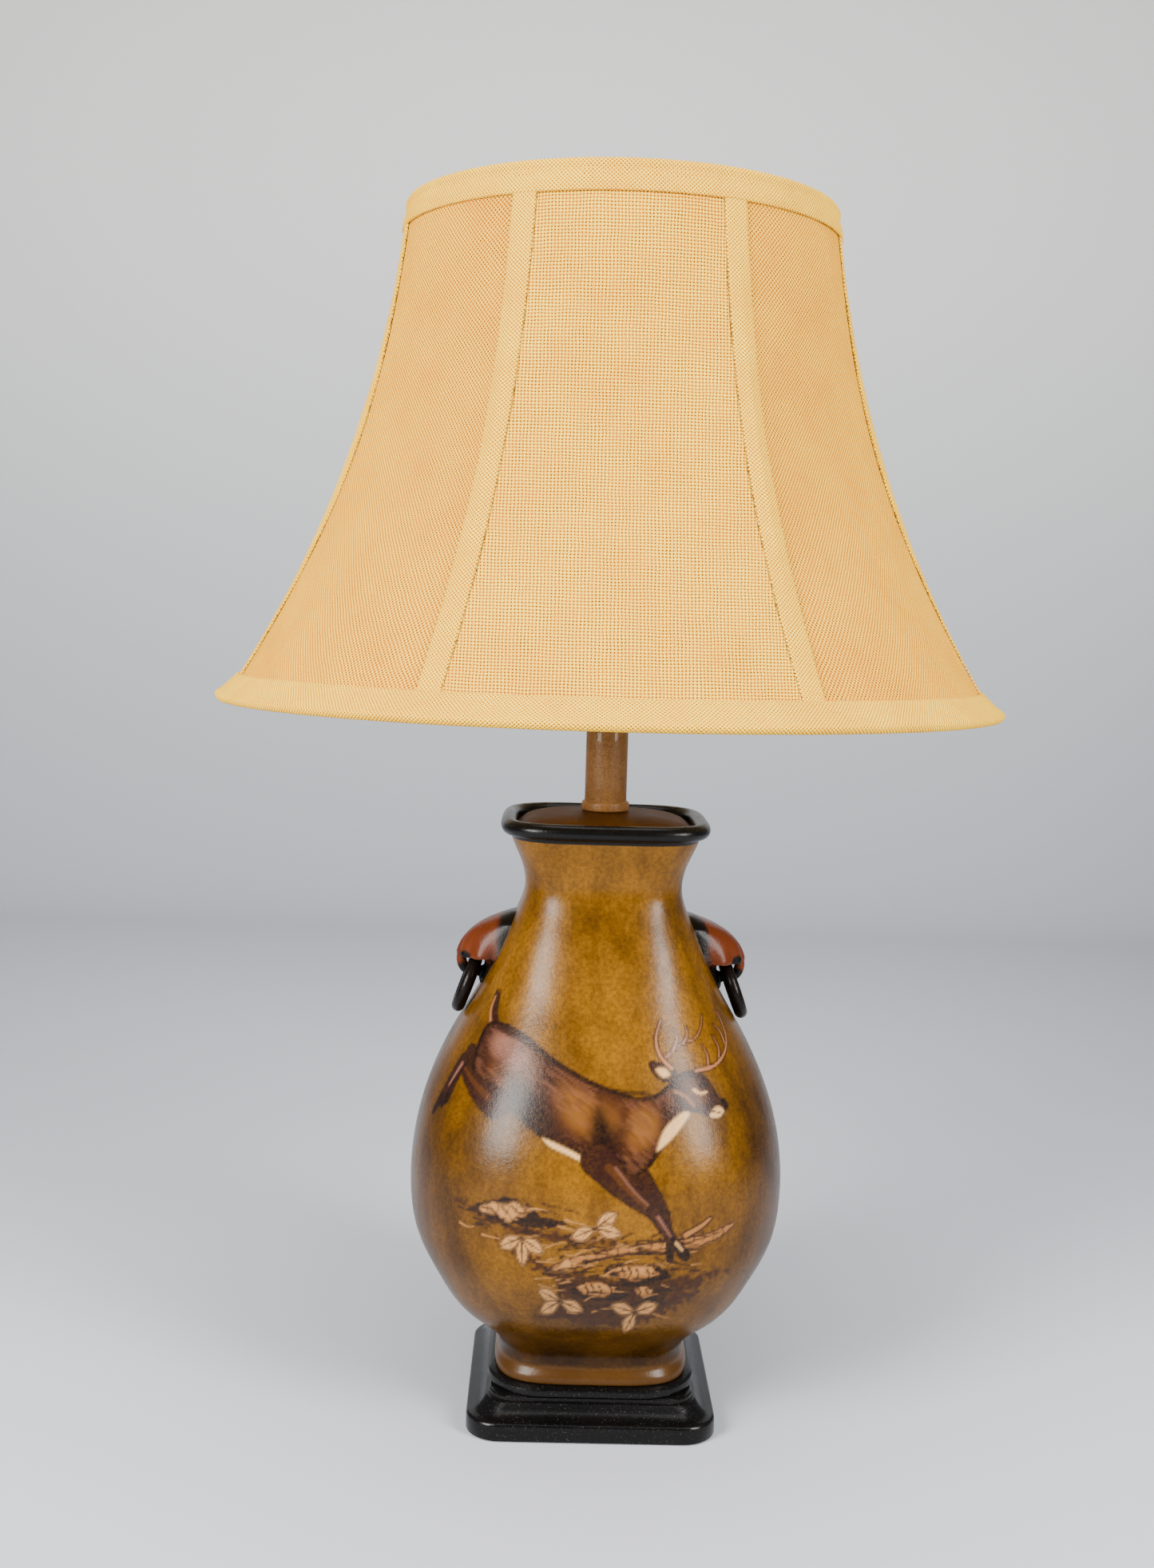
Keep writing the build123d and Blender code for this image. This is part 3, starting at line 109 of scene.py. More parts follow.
def smooth_line(points: Sequence[Place], closed: bool, steps: int = 5) -> Array:
    """A Catmull-Rom line through the points, steps places to each span."""
    given = np.asarray(points, float)
    if closed:
        before, after, beyond = np.roll(given, 1, 0), np.roll(given, -1, 0), np.roll(given, -2, 0)
    else:
        given = np.concatenate([[2 * given[0] - given[1]], given, [2 * given[-1] - given[-2]]])
        before, given, after, beyond = given[:-3], given[1:-2], given[2:-1], given[3:]
    t = (np.arange(steps) / steps)[:, None, None]
    line = 0.5 * (2 * given + (after - before) * t + (2 * before - 5 * given + 4 * after - beyond) * t ** 2
                  + (3 * given - before - 3 * after + beyond) * t ** 3)
    line = line.transpose(1, 0, 2).reshape(-1, 2)
    return line if closed else np.concatenate([line, after[-1:]])


def lattice_noise(places: Array, cell: float, seed: int) -> Array:
    """Smooth random values from 0 to 1: random numbers on a square lattice, eased from corner to corner."""
    grid = np.random.default_rng(seed).random((LATTICE, LATTICE))
    scaled = places / cell
    corner = np.floor(scaled).astype(int)
    share = scaled - corner
    share = share * share * (3 - 2 * share)
    x, y = corner[:, 0] % LATTICE, corner[:, 1] % LATTICE
    x_next, y_next = (x + 1) % LATTICE, (y + 1) % LATTICE
    low = grid[x, y] * (1 - share[:, 0]) + grid[x_next, y] * share[:, 0]
    high = grid[x, y_next] * (1 - share[:, 0]) + grid[x_next, y_next] * share[:, 0]
    return low * (1 - share[:, 1]) + high * share[:, 1]


# ---------------------------------------------------------------------------------------- meshes
def spread(*parts: Array) -> Array:
    """Parts that match in shape, or can be stretched to match, as one array of places."""
    return np.stack(np.broadcast_arrays(*parts), -1)


def add_object(name: str, data: bpy.types.ID) -> Piece:
    """A new object of that data, linked to the scene."""
    made = bpy.data.objects.new(name, data)
    bpy.context.scene.collection.objects.link(made)
    return made


def grid_object(name: str, points: Array, close_rows: bool = False, close_columns: bool = False,
                uv: Array | None = None, crease: float = 40.0) -> Piece:
    """A mesh of quads between neighbouring points of a grid.

    Args:
        name: The piece's name.
        points: Rows by columns by 3, in millimetres.
        close_rows: Join the last row to the first.
        close_columns: Join the last column to the first.
        uv: Rows by columns by 2, with one more row or column where that way is closed.
        crease: Edges that turn by more than this many degrees stay sharp.

    Returns:
        The new object, linked to the scene, with its closed surfaces facing outwards.
    """
    rows, columns = points.shape[:2]
    down = np.arange(rows if close_rows else rows - 1)
    along = np.arange(columns if close_columns else columns - 1)
    row, column = (part.ravel() for part in np.meshgrid(down, along, indexing="ij"))
    corners = [(row, column), (row, column + 1), (row + 1, column + 1), (row + 1, column)]
    quads = np.stack([(r % rows) * columns + c % columns for r, c in corners], -1)
    corner_uv = None if uv is None else np.stack([uv[r, c] for r, c in corners], 1)
    vertices = points.reshape(-1, 3) * MM
    if (close_rows or close_columns) and signed_volume(vertices, quads) < 0:
        quads = quads[:, ::-1]
        corner_uv = None if corner_uv is None else corner_uv[:, ::-1]
    mesh = bpy.data.meshes.new(name)
    mesh.vertices.add(len(vertices))
    mesh.vertices.foreach_set("co", vertices.astype(np.float32).ravel())
    mesh.loops.add(quads.size)
    mesh.loops.foreach_set("vertex_index", quads.astype(np.int32).ravel())
    mesh.polygons.add(len(quads))
    mesh.polygons.foreach_set("loop_start", np.arange(0, quads.size, 4, dtype=np.int32))
    mesh.update(calc_edges=True)
    if corner_uv is not None:
        layer = mesh.uv_layers.new(name="cloth")
        layer.data.foreach_set("uv", np.ascontiguousarray(corner_uv, np.float32).ravel())
    mesh.validate()
    made = add_object(name, mesh)
    smooth(made, crease)
    return made


def signed_volume(vertices: Array, quads: Array) -> float:
    """Volume inside the quads, below zero where they face inwards."""
    a, b, c, d = (vertices[quads[:, corner]] for corner in range(4))
    return float((np.cross(a, b) * c).sum() + (np.cross(a, c) * d).sum()) / 6


def smooth(piece: Piece, crease: float) -> None:
    """Shade a piece smoothly, but for edges that turn by more than crease degrees."""
    piece.data.shade_smooth()
    piece.data.set_sharp_from_angle(angle=math.radians(crease))


def weld(piece: Piece) -> None:
    """Merge the points that coincide, as at a pole, and drop the faces that this flattens."""
    work = bmesh.new()
    work.from_mesh(piece.data)
    bmesh.ops.remove_doubles(work, verts=work.verts, dist=2e-6)
    bmesh.ops.dissolve_degenerate(work, edges=work.edges, dist=1e-7)
    work.to_mesh(piece.data)
    work.free()


def apply_modifiers(piece: Piece) -> None:
    """Turn a piece's modifiers into its mesh."""
    evaluated = piece.evaluated_get(bpy.context.evaluated_depsgraph_get())
    mesh = bpy.data.meshes.new_from_object(evaluated)
    piece.modifiers.clear()
    piece.data = mesh


def lathe(name: str, profile: Sequence[Place], columns: int = 64, crease: float = 40.0,
          closed: bool = True) -> Piece:
    """A turned piece: the profile of (radius, height) carried round the lamp's axis.

    Args:
        name: The piece's name.
        profile: Outline points in millimetres; a closed one is a ring's section.
        columns: Points round the axis.
        crease: Edges that turn by more than this stay sharp.
        closed: Join the profile's end to its start.

    Returns:
        The piece, with its poles closed.
    """
    radius, height = np.asarray(profile, float).T
    turn = 2 * math.pi * np.arange(columns) / columns
    points = spread(radius[:, None] * np.cos(turn), radius[:, None] * np.sin(turn), height[:, None])
    made = grid_object(name, points, close_rows=closed, close_columns=True, crease=crease)
    if radius.min() < 1e-6:
        weld(made)
        smooth(made, crease)
    return made


def round_corner(centre: Place, radius: float, start: float, end: float, steps: int = 6) -> list[Place]:
    """Points of an arc from start to end degrees about centre."""
    turns = np.radians(np.linspace(start, end, steps))
    return [(centre[0] + radius * math.cos(turn), centre[1] + radius * math.sin(turn))
            for turn in turns]


# ---------------------------------------------------------------------------------------- shader wiring
class Wiring:
    """Adds and joins the nodes of one shader tree."""

    def __init__(self, tree: Tree) -> None:
        """Work on tree."""
        self.tree = tree

    def node(self, kind: str, **settings: object) -> Node:
        """A new node of that kind with its settings."""
        made = self.tree.nodes.new("ShaderNode" + kind)
        for name, value in settings.items():
            setattr(made, name, value)
        return made

    def feed(self, socket: Socket, value: object) -> None:
        """Join value to socket if it is a socket, or write it there."""
        if isinstance(value, Socket):
            self.tree.links.new(value, socket)
        elif isinstance(value, tuple) and len(value) == 3 and socket.type == "RGBA":
            socket.default_value = (*value, 1.0)
        else:
            socket.default_value = value

    def settle(self, node: Node, **values: object) -> Node:
        """Feed a node's inputs by name, with an underscore for each space."""
        for name, value in values.items():
            self.feed(node.inputs[name.replace("_", " ")], value)
        return node

    def math(self, operation: str, first: object, second: object = 0.0) -> Socket:
        """One Math node."""
        made = self.node("Math", operation=operation)
        self.feed(made.inputs[0], first)
        self.feed(made.inputs[1], second)
        return made.outputs[0]

    def plus(self, first: object, second: object) -> Socket:
        """first + second."""
        return self.math("ADD", first, second)

    def minus(self, first: object, second: object) -> Socket:
        """first - second."""
        return self.math("SUBTRACT", first, second)

    def times(self, first: object, second: object) -> Socket:
        """first * second."""
        return self.math("MULTIPLY", first, second)

    def step(self, value: object, low: float, high: float, start: float = 0.0, end: float = 1.0) -> Socket:
        """A smooth step from start to end, as value goes from low to high."""
        made = self.node("MapRange", interpolation_type="SMOOTHSTEP")
        self.settle(made, Value=value, From_Min=low, From_Max=high, To_Min=start, To_Max=end)
        return made.outputs["Result"]

    def mix(self, share: object, first: object, second: object, kind: str = "MIX") -> Socket:
        """One colour Mix node."""
        made = self.node("Mix", data_type="RGBA", blend_type=kind)
        for socket, value in zip((made.inputs[0], made.inputs[6], made.inputs[7]), (share, first, second)):
            self.feed(socket, value)
        return made.outputs[2]

    def noise(self, place: object, scale: float, detail: float = 2.0, rough: float = 0.5) -> Sockets:
        """The outputs of one Noise Texture node, read at place."""
        made = self.node("TexNoise")
        return self.settle(made, Vector=place, Scale=scale, Detail=detail, Roughness=rough).outputs

    def split(self, place: object) -> tuple[Socket, ...]:
        """The three parts of a vector."""
        made = self.node("SeparateXYZ")
        self.feed(made.inputs[0], place)
        return tuple(made.outputs)

    def join(self, x: object, y: object, z: object) -> Socket:
        """A vector from three parts."""
        made = self.node("CombineXYZ")
        for socket, value in zip(made.inputs, (x, y, z)):
            self.feed(socket, value)
        return made.outputs[0]

    def stretch(self, place: object, scale: tuple[float, float, float], turn: float = 0.0) -> Socket:
        """A vector scaled, and turned about Z by turn degrees."""
        made = self.node("Mapping")
        self.feed(made.inputs["Vector"], place)
        made.inputs["Scale"].default_value = scale
        made.inputs["Rotation"].default_value = (0.0, 0.0, math.radians(turn))
        return made.outputs[0]

    def group(self, tree: Tree, **inputs: object) -> Sockets:
        """The outputs of a shared group's node, with its inputs fed."""
        made = self.node("Group")
        made.node_tree = tree
        return self.settle(made, **inputs).outputs


def new_group(name: str, inputs: dict[str, str], outputs: Sequence[str]) -> tuple[Wiring, Sockets, Node]:
    """An empty node group with named sockets.

    Args:
        name: The group's name.
        inputs: Each input's name and kind, Vector or Float.
        outputs: Names of the outputs, all values.

    Returns:
        The group's wiring, what it is given, and its output node.
    """
    tree = bpy.data.node_groups.new(name, "ShaderNodeTree")
    for label, kind in inputs.items():
        tree.interface.new_socket(label, in_out="INPUT", socket_type="NodeSocket" + kind)
    for label in outputs:
        tree.interface.new_socket(label, in_out="OUTPUT", socket_type="NodeSocketFloat")
    return Wiring(tree), tree.nodes.new("NodeGroupInput").outputs, tree.nodes.new("NodeGroupOutput")


def weave_group() -> Tree:
    """Plain weave, read in thread counts: slubby threads over and under, with open corners between."""
    w, given, out = new_group("plain_weave", {"Threads": "Vector", "Wobble": "Float"},
                              ["Height", "Gap", "Tone", "Fibre"])
    drift = w.noise(given["Threads"], 0.13, 3.0)
    along_u, along_v, _ = w.split(drift["Color"])
    u, v, _ = w.split(given["Threads"])
    u = w.plus(u, w.times(w.minus(along_u, 0.5), given["Wobble"]))
    v = w.plus(v, w.times(w.minus(along_v, 0.5), given["Wobble"]))

    def thread(across: Socket, along: Socket, offset: float) -> tuple[Socket, Socket]:
        """Height and tone of one set of threads."""
        number = w.math("ROUND", across)
        slub = w.noise(w.join(w.times(number, 5.37), w.times(along, 0.14), offset), 1.0, 3.0)
        width = w.math("MULTIPLY_ADD", slub["Fac"], 0.9)
        width.node.inputs[2].default_value = 0.42
        off = w.math("DIVIDE", w.times(w.minus(across, number), 2.0), width)
        crown = w.math("SQRT", w.math("MAXIMUM", w.minus(1.0, w.times(off, off)), 0.0))
        return crown, slub["Fac"]

    warp, warp_tone = thread(u, v, 3.1)
    weft, weft_tone = thread(v, u, 17.7)
    over = w.times(w.math("COSINE", w.times(u, math.pi)),
                  w.math("COSINE", w.times(v, math.pi)))
    warp_height = w.times(warp, w.plus(0.62, w.times(over, 0.38)))
    weft_height = w.times(weft, w.minus(0.62, w.times(over, 0.38)))
    height = w.math("MAXIMUM", warp_height, weft_height)
    on_top = w.math("GREATER_THAN", warp_height, weft_height)
    warp_fibre = w.noise(w.join(w.times(u, 5.0), w.times(v, 1.3), 0.0), 1.0, 3.0, 0.65)
    weft_fibre = w.noise(w.join(w.times(u, 1.3), w.times(v, 5.0), 9.0), 1.0, 3.0, 0.65)
    tone = w.node("Mix", data_type="FLOAT")
    fibre = w.node("Mix", data_type="FLOAT")
    for made, low, high in ((tone, weft_tone, warp_tone), (fibre, weft_fibre["Fac"], warp_fibre["Fac"])):
        for number, value in ((0, on_top), (2, low), (3, high)):
            w.feed(made.inputs[number], value)
    w.feed(out.inputs["Height"], w.plus(height, w.times(fibre.outputs[0], 0.18)))
    w.feed(out.inputs["Gap"], w.step(height, 0.2, 0.66, 1.0, 0.0))
    w.feed(out.inputs["Tone"], tone.outputs[0])
    w.feed(out.inputs["Fibre"], fibre.outputs[0])
    return w.tree


def mottle_group() -> Tree:
    """Sponged colour: large clouds, upright streaks and fine specks, each from 0 to 1."""
    w, given, out = new_group("sponged_mottle", {"Place": "Vector", "Size": "Float"},
                              ["Cloud", "Streak", "Speck"])
    scaled = w.node("VectorMath", operation="SCALE")
    w.feed(scaled.inputs[0], given["Place"])
    place = w.settle(scaled, Scale=given["Size"]).outputs[0]
    cloud = w.noise(place, 14.0, 5.0, 0.62)
    streak = w.noise(w.stretch(place, (1.0, 1.0, 0.32)), 60.0, 4.0, 0.6)
    speck = w.noise(place, 420.0, 3.0, 0.7)
    w.feed(out.inputs["Cloud"], w.step(cloud["Fac"], 0.32, 0.68))
    w.feed(out.inputs["Streak"], w.step(streak["Fac"], 0.3, 0.7))
    w.feed(out.inputs["Speck"], w.step(speck["Fac"], 0.35, 0.65))
    return w.tree


def handling_group() -> Tree:
    """Marks of use: smears that change the gloss, hairline scratches and settled dust, each from 0 to 1."""
    w, given, out = new_group("handling_marks", {"Place": "Vector"}, ["Smear", "Scratch", "Dust"])
    smear = w.noise(given["Place"], 32.0, 4.0, 0.6)
    hair = w.noise(w.stretch(given["Place"], (1.0, 1.0, 14.0), 23.0), 180.0, 2.0, 0.5)
    dust = w.noise(given["Place"], 900.0, 2.0, 0.6)
    w.feed(out.inputs["Smear"], w.step(smear["Fac"], 0.3, 0.7))
    w.feed(out.inputs["Scratch"], w.step(hair["Fac"], 0.66, 0.72))
    w.feed(out.inputs["Dust"], w.step(dust["Fac"], 0.6, 0.74))
    return w.tree


class Shared:
    """The node groups that several finishes use, each built once."""

    weave = weave_group()
    mottle = mottle_group()
    handling = handling_group()


@dataclass(frozen=True)
class Finish:
    """What every finish has: a name, and a material made from it once."""

    name: str

    def wire(self, w: Wiring, shader: Node, place: Sockets) -> None:
        """Wire the colour, gloss and relief of this finish into shader."""
        raise NotImplementedError

    def material(self) -> bpy.types.Material:
        """The finish's material, made at the first call."""
        found = bpy.data.materials.get(self.name + "_finish")
        if found:
            return found
        made = bpy.data.materials.new(self.name + "_finish")
        made.use_nodes = True
        made.node_tree.nodes.clear()
        w = Wiring(made.node_tree)
        shader = w.node("BsdfPrincipled")
        w.feed(w.node("OutputMaterial").inputs["Surface"], shader.outputs[0])
        self.wire(w, shader, w.node("TexCoord").outputs)
        return made

    def dress(self, piece: Piece) -> None:
        """Give the piece this finish and no other."""
        if not piece.data.materials:
            piece.data.materials.append(None)
        for index in range(len(piece.material_slots)):
            piece.material_slots[index].link = "OBJECT"
            piece.material_slots[index].material = self.material()


def relief(w: Wiring, shader: Node, height: Socket, depth: float) -> None:
    """Feed height to the shader's normal through a bump of that depth in metres."""
    bump = w.settle(w.node("Bump"), Distance=depth, Strength=1.0, Height=height)
    w.settle(shader, Normal=bump.outputs[0])


@dataclass(frozen=True)
class Burlap(Finish):
    """Coarse jute cloth: golden valleys, pale crowns and dark open corners between the threads."""

    # Painted highlight and shade: crowns are painted paler and valleys darker by the weave's height, and the
    # open corners are painted dark as shade.
    crown: Colour = paint(255, 226, 60)
    valley: Colour = paint(248, 168, 16)
    gap: Colour = paint(62, 32, 0)
    tone: Colour = paint(236, 214, 160)
    pitch: float = 1.8
    cut: Weave = Weave.STRAIGHT
    depth: float = 0.0009
    edge: float = 0.0
    # Painted shade along the tape's folded edges.
    fold_shade: Colour = paint(92, 58, 26)

    def wire(self, w: Wiring, shader: Node, place: Sockets) -> None:
        """Threads follow the piece's own map, which is in millimetres of cloth."""
        scale = 1.0 / self.pitch
        threads = w.stretch(place["UV"], (scale, scale, scale), self.cut.value)
        weave = w.group(Shared.weave, Threads=threads, Wobble=0.75)
        cloudy = w.noise(place["UV"], 0.02, 4.0, 0.6)["Fac"]
        # Painted highlight and shade by thread height, then painted shade in the open corners.
        colour = w.mix(w.step(weave["Height"], 0.5, 1.05), self.valley, self.crown)
        colour = w.mix(w.times(weave["Gap"], 0.95), colour, self.gap)
        colour = w.mix(w.step(weave["Tone"], 0.3, 0.7, 0.0, 1.0), colour, self.tone, "MULTIPLY")
        colour = w.mix(w.step(cloudy, 0.3, 0.7, 0.0, 0.5), colour, self.tone, "MULTIPLY")
        # Painted shade: a dark dashed line just inside both folded edges of a tape.
        if self.edge:
            across = w.math("ABSOLUTE", w.split(place["UV"])[0])
            dashes = w.noise(w.stretch(place["UV"], (0.2, 1.0, 1.0)), 0.9, 2.0)["Fac"]
            line = w.times(w.step(across, self.edge - 0.5, self.edge + 0.1), w.step(dashes, 0.35, 0.6))
            colour = w.mix(line, colour, self.fold_shade)
        w.settle(shader, Base_Color=colour, Roughness=0.92, Specular_IOR_Level=0.05)
        relief(w, shader, weave["Height"], self.depth)


@dataclass(frozen=True)
class Glaze(Finish):
    """The vase's sponged brown glaze under a clear coat, its painted scene, black lip and tan foot."""

    light: Colour = paint(122, 80, 8)
    dark: Colour = paint(64, 38, 2)
    foot: Colour = paint(84, 55, 22)
    lip: Colour = paint(8, 7, 6)
    foot_height: float = 39.0
    lip_height: float = 346.6
    # Painted shade laid over the sides below the shoulder and over the bottom of the vase.
    painted_shade: Colour = paint(96, 80, 40)

    def wire(self, w: Wiring, shader: Node, place: Sockets) -> None:
        """Clouds and specks go by place on the lamp, and the scene by the paint on the mesh."""
        mottle = w.group(Shared.mottle, Place=place["Object"], Size=1.0)
        handling = w.group(Shared.handling, Place=place["Object"])
        share = w.plus(w.times(mottle["Cloud"], 0.5),
                       w.times(mottle["Streak"], 0.5))
        colour = w.mix(share, self.dark, self.light)
        colour = w.mix(w.times(mottle["Speck"], 0.35), colour, self.dark, "MULTIPLY")
        height = w.split(place["Object"])[2]
        wander = w.plus(height, w.times(mottle["Streak"], 0.0016))
        foot = w.step(wander, (self.foot_height - 1.5) * MM, (self.foot_height + 1.5) * MM, 1.0, 0.0)
        # Painted shade: a dark band in the hollow of the waist, just above the foot band.
        waist = w.times(w.step(wander, 0.038, 0.0405), w.step(wander, 0.043, 0.062, 1.0, 0.0))
        colour = w.mix(w.times(foot, 0.8), colour, self.foot)
        colour = w.mix(w.times(waist, 0.65), colour, self.dark, "MULTIPLY")
        # Painted shade: the glaze is darkened towards the left and right below the shoulder and towards the
        # bottom, where the light falls off.
        sideways = w.math("ABSOLUTE", w.split(place["Object"])[0])
        sides = w.times(w.step(sideways, 0.04, 0.115), w.step(height, 0.33, 0.24))
        low = w.step(height, 0.12, 0.05)
        shaded = w.math("MAXIMUM", w.times(sides, 0.8), w.times(low, 0.6))
        colour = w.mix(shaded, colour, self.painted_shade, "MULTIPLY")
        scene = w.node("Attribute", attribute_name="scene")
        cover = w.times(scene.outputs["Alpha"], w.plus(0.86, w.times(mottle["Speck"], 0.14)))
        colour = w.mix(cover, colour, scene.outputs["Color"])
        colour = w.mix(w.step(height, (self.lip_height - 0.6) * MM, self.lip_height * MM), colour, self.lip)
        w.settle(shader, Base_Color=colour, Roughness=w.plus(0.24, w.times(handling["Smear"], 0.08)),
                 Specular_IOR_Level=0.16, Coat_Weight=0.04, Coat_Roughness=0.15)
        relief(w, shader, mottle["Speck"], 0.00004)


@dataclass(frozen=True)
class HandleGlaze(Finish):
    """Rust-red glaze that breaks to black at the root, along the flutes and on the rings."""

    rust: Colour = paint(88, 38, 14)
    black: Colour = paint(9, 7, 6)
    all_black: bool = False

    def wire(self, w: Wiring, shader: Node, place: Sockets) -> None:
        """Black gathers low down, near the vase and wherever the paint map says a hollow is."""
        handling = w.group(Shared.handling, Place=place["Object"])
        mottle = w.group(Shared.mottle, Place=place["Object"], Size=1.6)
        if self.all_black:
            colour = w.mix(w.times(mottle["Cloud"], 0.35), self.black, self.rust)
            colour = w.mix(0.94, colour, self.black)
        else:
            wander = w.times(w.minus(mottle["Streak"], 0.5), 0.35)
            hollow = w.node("Attribute", attribute_name="hollow").outputs["Fac"]
            colour = w.mix(w.step(w.plus(hollow, wander), 0.3, 0.72), self.rust, self.black)
            colour = w.mix(w.times(mottle["Cloud"], 0.3), colour, self.black)
        w.settle(shader, Base_Color=colour, Roughness=w.plus(0.22, w.times(handling["Smear"], 0.1)),
                 Specular_IOR_Level=0.1, Coat_Weight=0.03, Coat_Roughness=0.15)
        relief(w, shader, mottle["Speck"], 0.00004)


@dataclass(frozen=True)
class Lacquer(Finish):
    """Opaque gloss paint or enamel, with smears, specks of dust and a little sponging."""

    base: Colour = paint(5, 5, 5)
    second: Colour = paint(9, 8, 8)
    gloss: float = 0.14
    coat: float = 0.05
    grain: float = 0.00003
    shine: float = 0.16
    dust: Colour = paint(170, 165, 158)

    def wire(self, w: Wiring, shader: Node, place: Sockets) -> None:
        """Two close colours sponged together."""
        handling = w.group(Shared.handling, Place=place["Object"])
        mottle = w.group(Shared.mottle, Place=place["Object"], Size=2.0)
        share = w.times(w.plus(mottle["Cloud"], mottle["Speck"]), 0.5)
        colour = w.mix(share, self.base, self.second)
        colour = w.mix(w.times(handling["Dust"], 0.05), colour, self.dust)
        w.settle(shader, Base_Color=colour, Roughness=w.plus(self.gloss, w.times(handling["Smear"], 0.1)),
                 Specular_IOR_Level=self.shine, Coat_Weight=self.coat, Coat_Roughness=0.05)
        relief(w, shader, mottle["Speck"], self.grain)


@dataclass(frozen=True)
class Metal(Finish):
    """Plated or bare metal with smears and hairline scratches."""

    base: Colour = paint(190, 188, 184)
    tarnish: Colour = paint(120, 116, 110)
    gloss: float = 0.28

    def wire(self, w: Wiring, shader: Node, place: Sockets) -> None:
        """Tarnish follows the smears, and scratches cut through it."""
        handling = w.group(Shared.handling, Place=place["Object"])
        colour = w.mix(w.times(handling["Smear"], 0.6), self.base, self.tarnish)
        colour = w.mix(w.times(handling["Scratch"], 0.4), colour, self.base)
        w.settle(shader, Base_Color=colour, Roughness=w.plus(self.gloss, w.times(handling["Smear"], 0.2)),
                 Metallic=1.0)
        relief(w, shader, handling["Scratch"], 0.00002)


@dataclass(frozen=True)
class Plain(Finish):
    """A dull moulded, pressed or felted material with its own fine grain."""

    base: Colour = paint(30, 30, 32)
    second: Colour = paint(44, 44, 46)
    grain_scale: float = 900.0
    grain_depth: float = 0.0001
    roughness: float = 0.6
    sheen: float = 0.0

    def wire(self, w: Wiring, shader: Node, place: Sockets) -> None:
        """Grain in colour and relief."""
        grain = w.noise(place["Object"], self.grain_scale, 4.0, 0.65)["Fac"]
        cloud = w.noise(place["Object"], self.grain_scale / 30, 3.0, 0.5)["Fac"]
        share = w.step(w.times(w.plus(grain, cloud), 0.5), 0.35, 0.65)
        colour = w.mix(share, self.base, self.second)
        rough = w.step(grain, 0.2, 0.8, self.roughness, min(self.roughness + 0.15, 1.0))
        w.settle(shader, Base_Color=colour, Roughness=rough, Sheen_Weight=self.sheen)
        relief(w, shader, grain, self.grain_depth)


@dataclass(frozen=True)
class Backdrop(Finish):
    """Matt paper, cooler and darker on the floor than up the wall; the darkening towards the floor is painted
    shade.
    """

    floor: Colour = paint(176, 179, 186)
    wall: Colour = paint(232, 234, 232)

    def wire(self, w: Wiring, shader: Node, place: Sockets) -> None:
        """Colour by height: painted shade that darkens the paper from the wall down to the floor."""
        height = w.split(place["Object"])[2]
        w.settle(shader, Base_Color=w.mix(w.step(height, 0.0, 1.5), self.floor, self.wall), Roughness=0.85,
                 Specular_IOR_Level=0.1)


@dataclass(frozen=True)
class Glass(Finish):
    """Bulb glass, frosted inside or clear."""

    base: Colour = paint(246, 244, 238)
    frost: float = 0.45
    veiled: Colour = paint(232, 230, 224)

    def wire(self, w: Wiring, shader: Node, place: Sockets) -> None:
        """Frost varies a little over the glass."""
        veil = w.noise(place["Object"], 60.0, 3.0, 0.6)["Fac"]
        w.settle(shader, Base_Color=w.mix(veil, self.base, self.veiled),
                 Roughness=w.step(veil, 0.2, 0.8, self.frost, self.frost + 0.12),
                 Transmission_Weight=0.75, IOR=1.45)


BLACK_LACQUER = Lacquer("black_lacquer")
FELT = Plain("felt", paint(24, 26, 24), paint(44, 48, 44), 1600.0, 0.0004, 0.95, 0.4)
BLACK_PLASTIC = Plain("black_plastic", paint(20, 20, 21), paint(30, 30, 31), 500.0, 0.00004, 0.42)
ZINC_STEEL = Metal("zinc_steel", paint(196, 196, 190), paint(150, 146, 128), 0.32)
VASE_GLAZE = Glaze("vase_glaze")
HANDLE_GLAZE = HandleGlaze("handle_glaze")
RING_GLAZE = HandleGlaze("ring_glaze", all_black=True)
# Painted shade: the cap's enamel is a darker copy of the brown enamel, standing in for the shadow on the cap
# inside the lip.
SHADED_CAP_ENAMEL = Lacquer("shaded_cap_enamel", paint(50, 27, 3), paint(82, 48, 8), 0.4, 0.0, 0.00006, 0.03)
BROWN_ENAMEL = Lacquer("brown_enamel", paint(98, 64, 30), paint(142, 100, 54), 0.3, 0.1, 0.00006)
AGED_BRASS = Metal("aged_brass", paint(176, 132, 62), paint(96, 64, 28), 0.3)
FIBRE_BOARD = Plain("fibre_board", paint(60, 44, 34), paint(84, 64, 48), 700.0, 0.00015, 0.8)
ALUMINIUM = Metal("aluminium_shell", paint(208, 206, 202), paint(168, 164, 158), 0.24)
BLACK_ENAMEL = Lacquer("black_enamel", paint(18, 17, 17), paint(34, 32, 30), 0.3, 0.1)
FROSTED_GLASS = Glass("frosted_glass")
CLEAR_GLASS = Glass("clear_glass", paint(250, 250, 250), 0.03)
FILAMENT = Metal("filament_wire", paint(150, 146, 140), paint(90, 86, 80), 0.4)
WHITE_WIRE = Plain("white_wire", paint(206, 200, 188), paint(222, 216, 204), 300.0, 0.00004, 0.45)
LINER_CLOTH = Burlap("liner_cloth", paint(240, 232, 214), paint(226, 214, 190), paint(186, 168, 136),
                     pitch=0.7, depth=0.0002)
BURLAP_STRAIGHT = Burlap("burlap_straight")
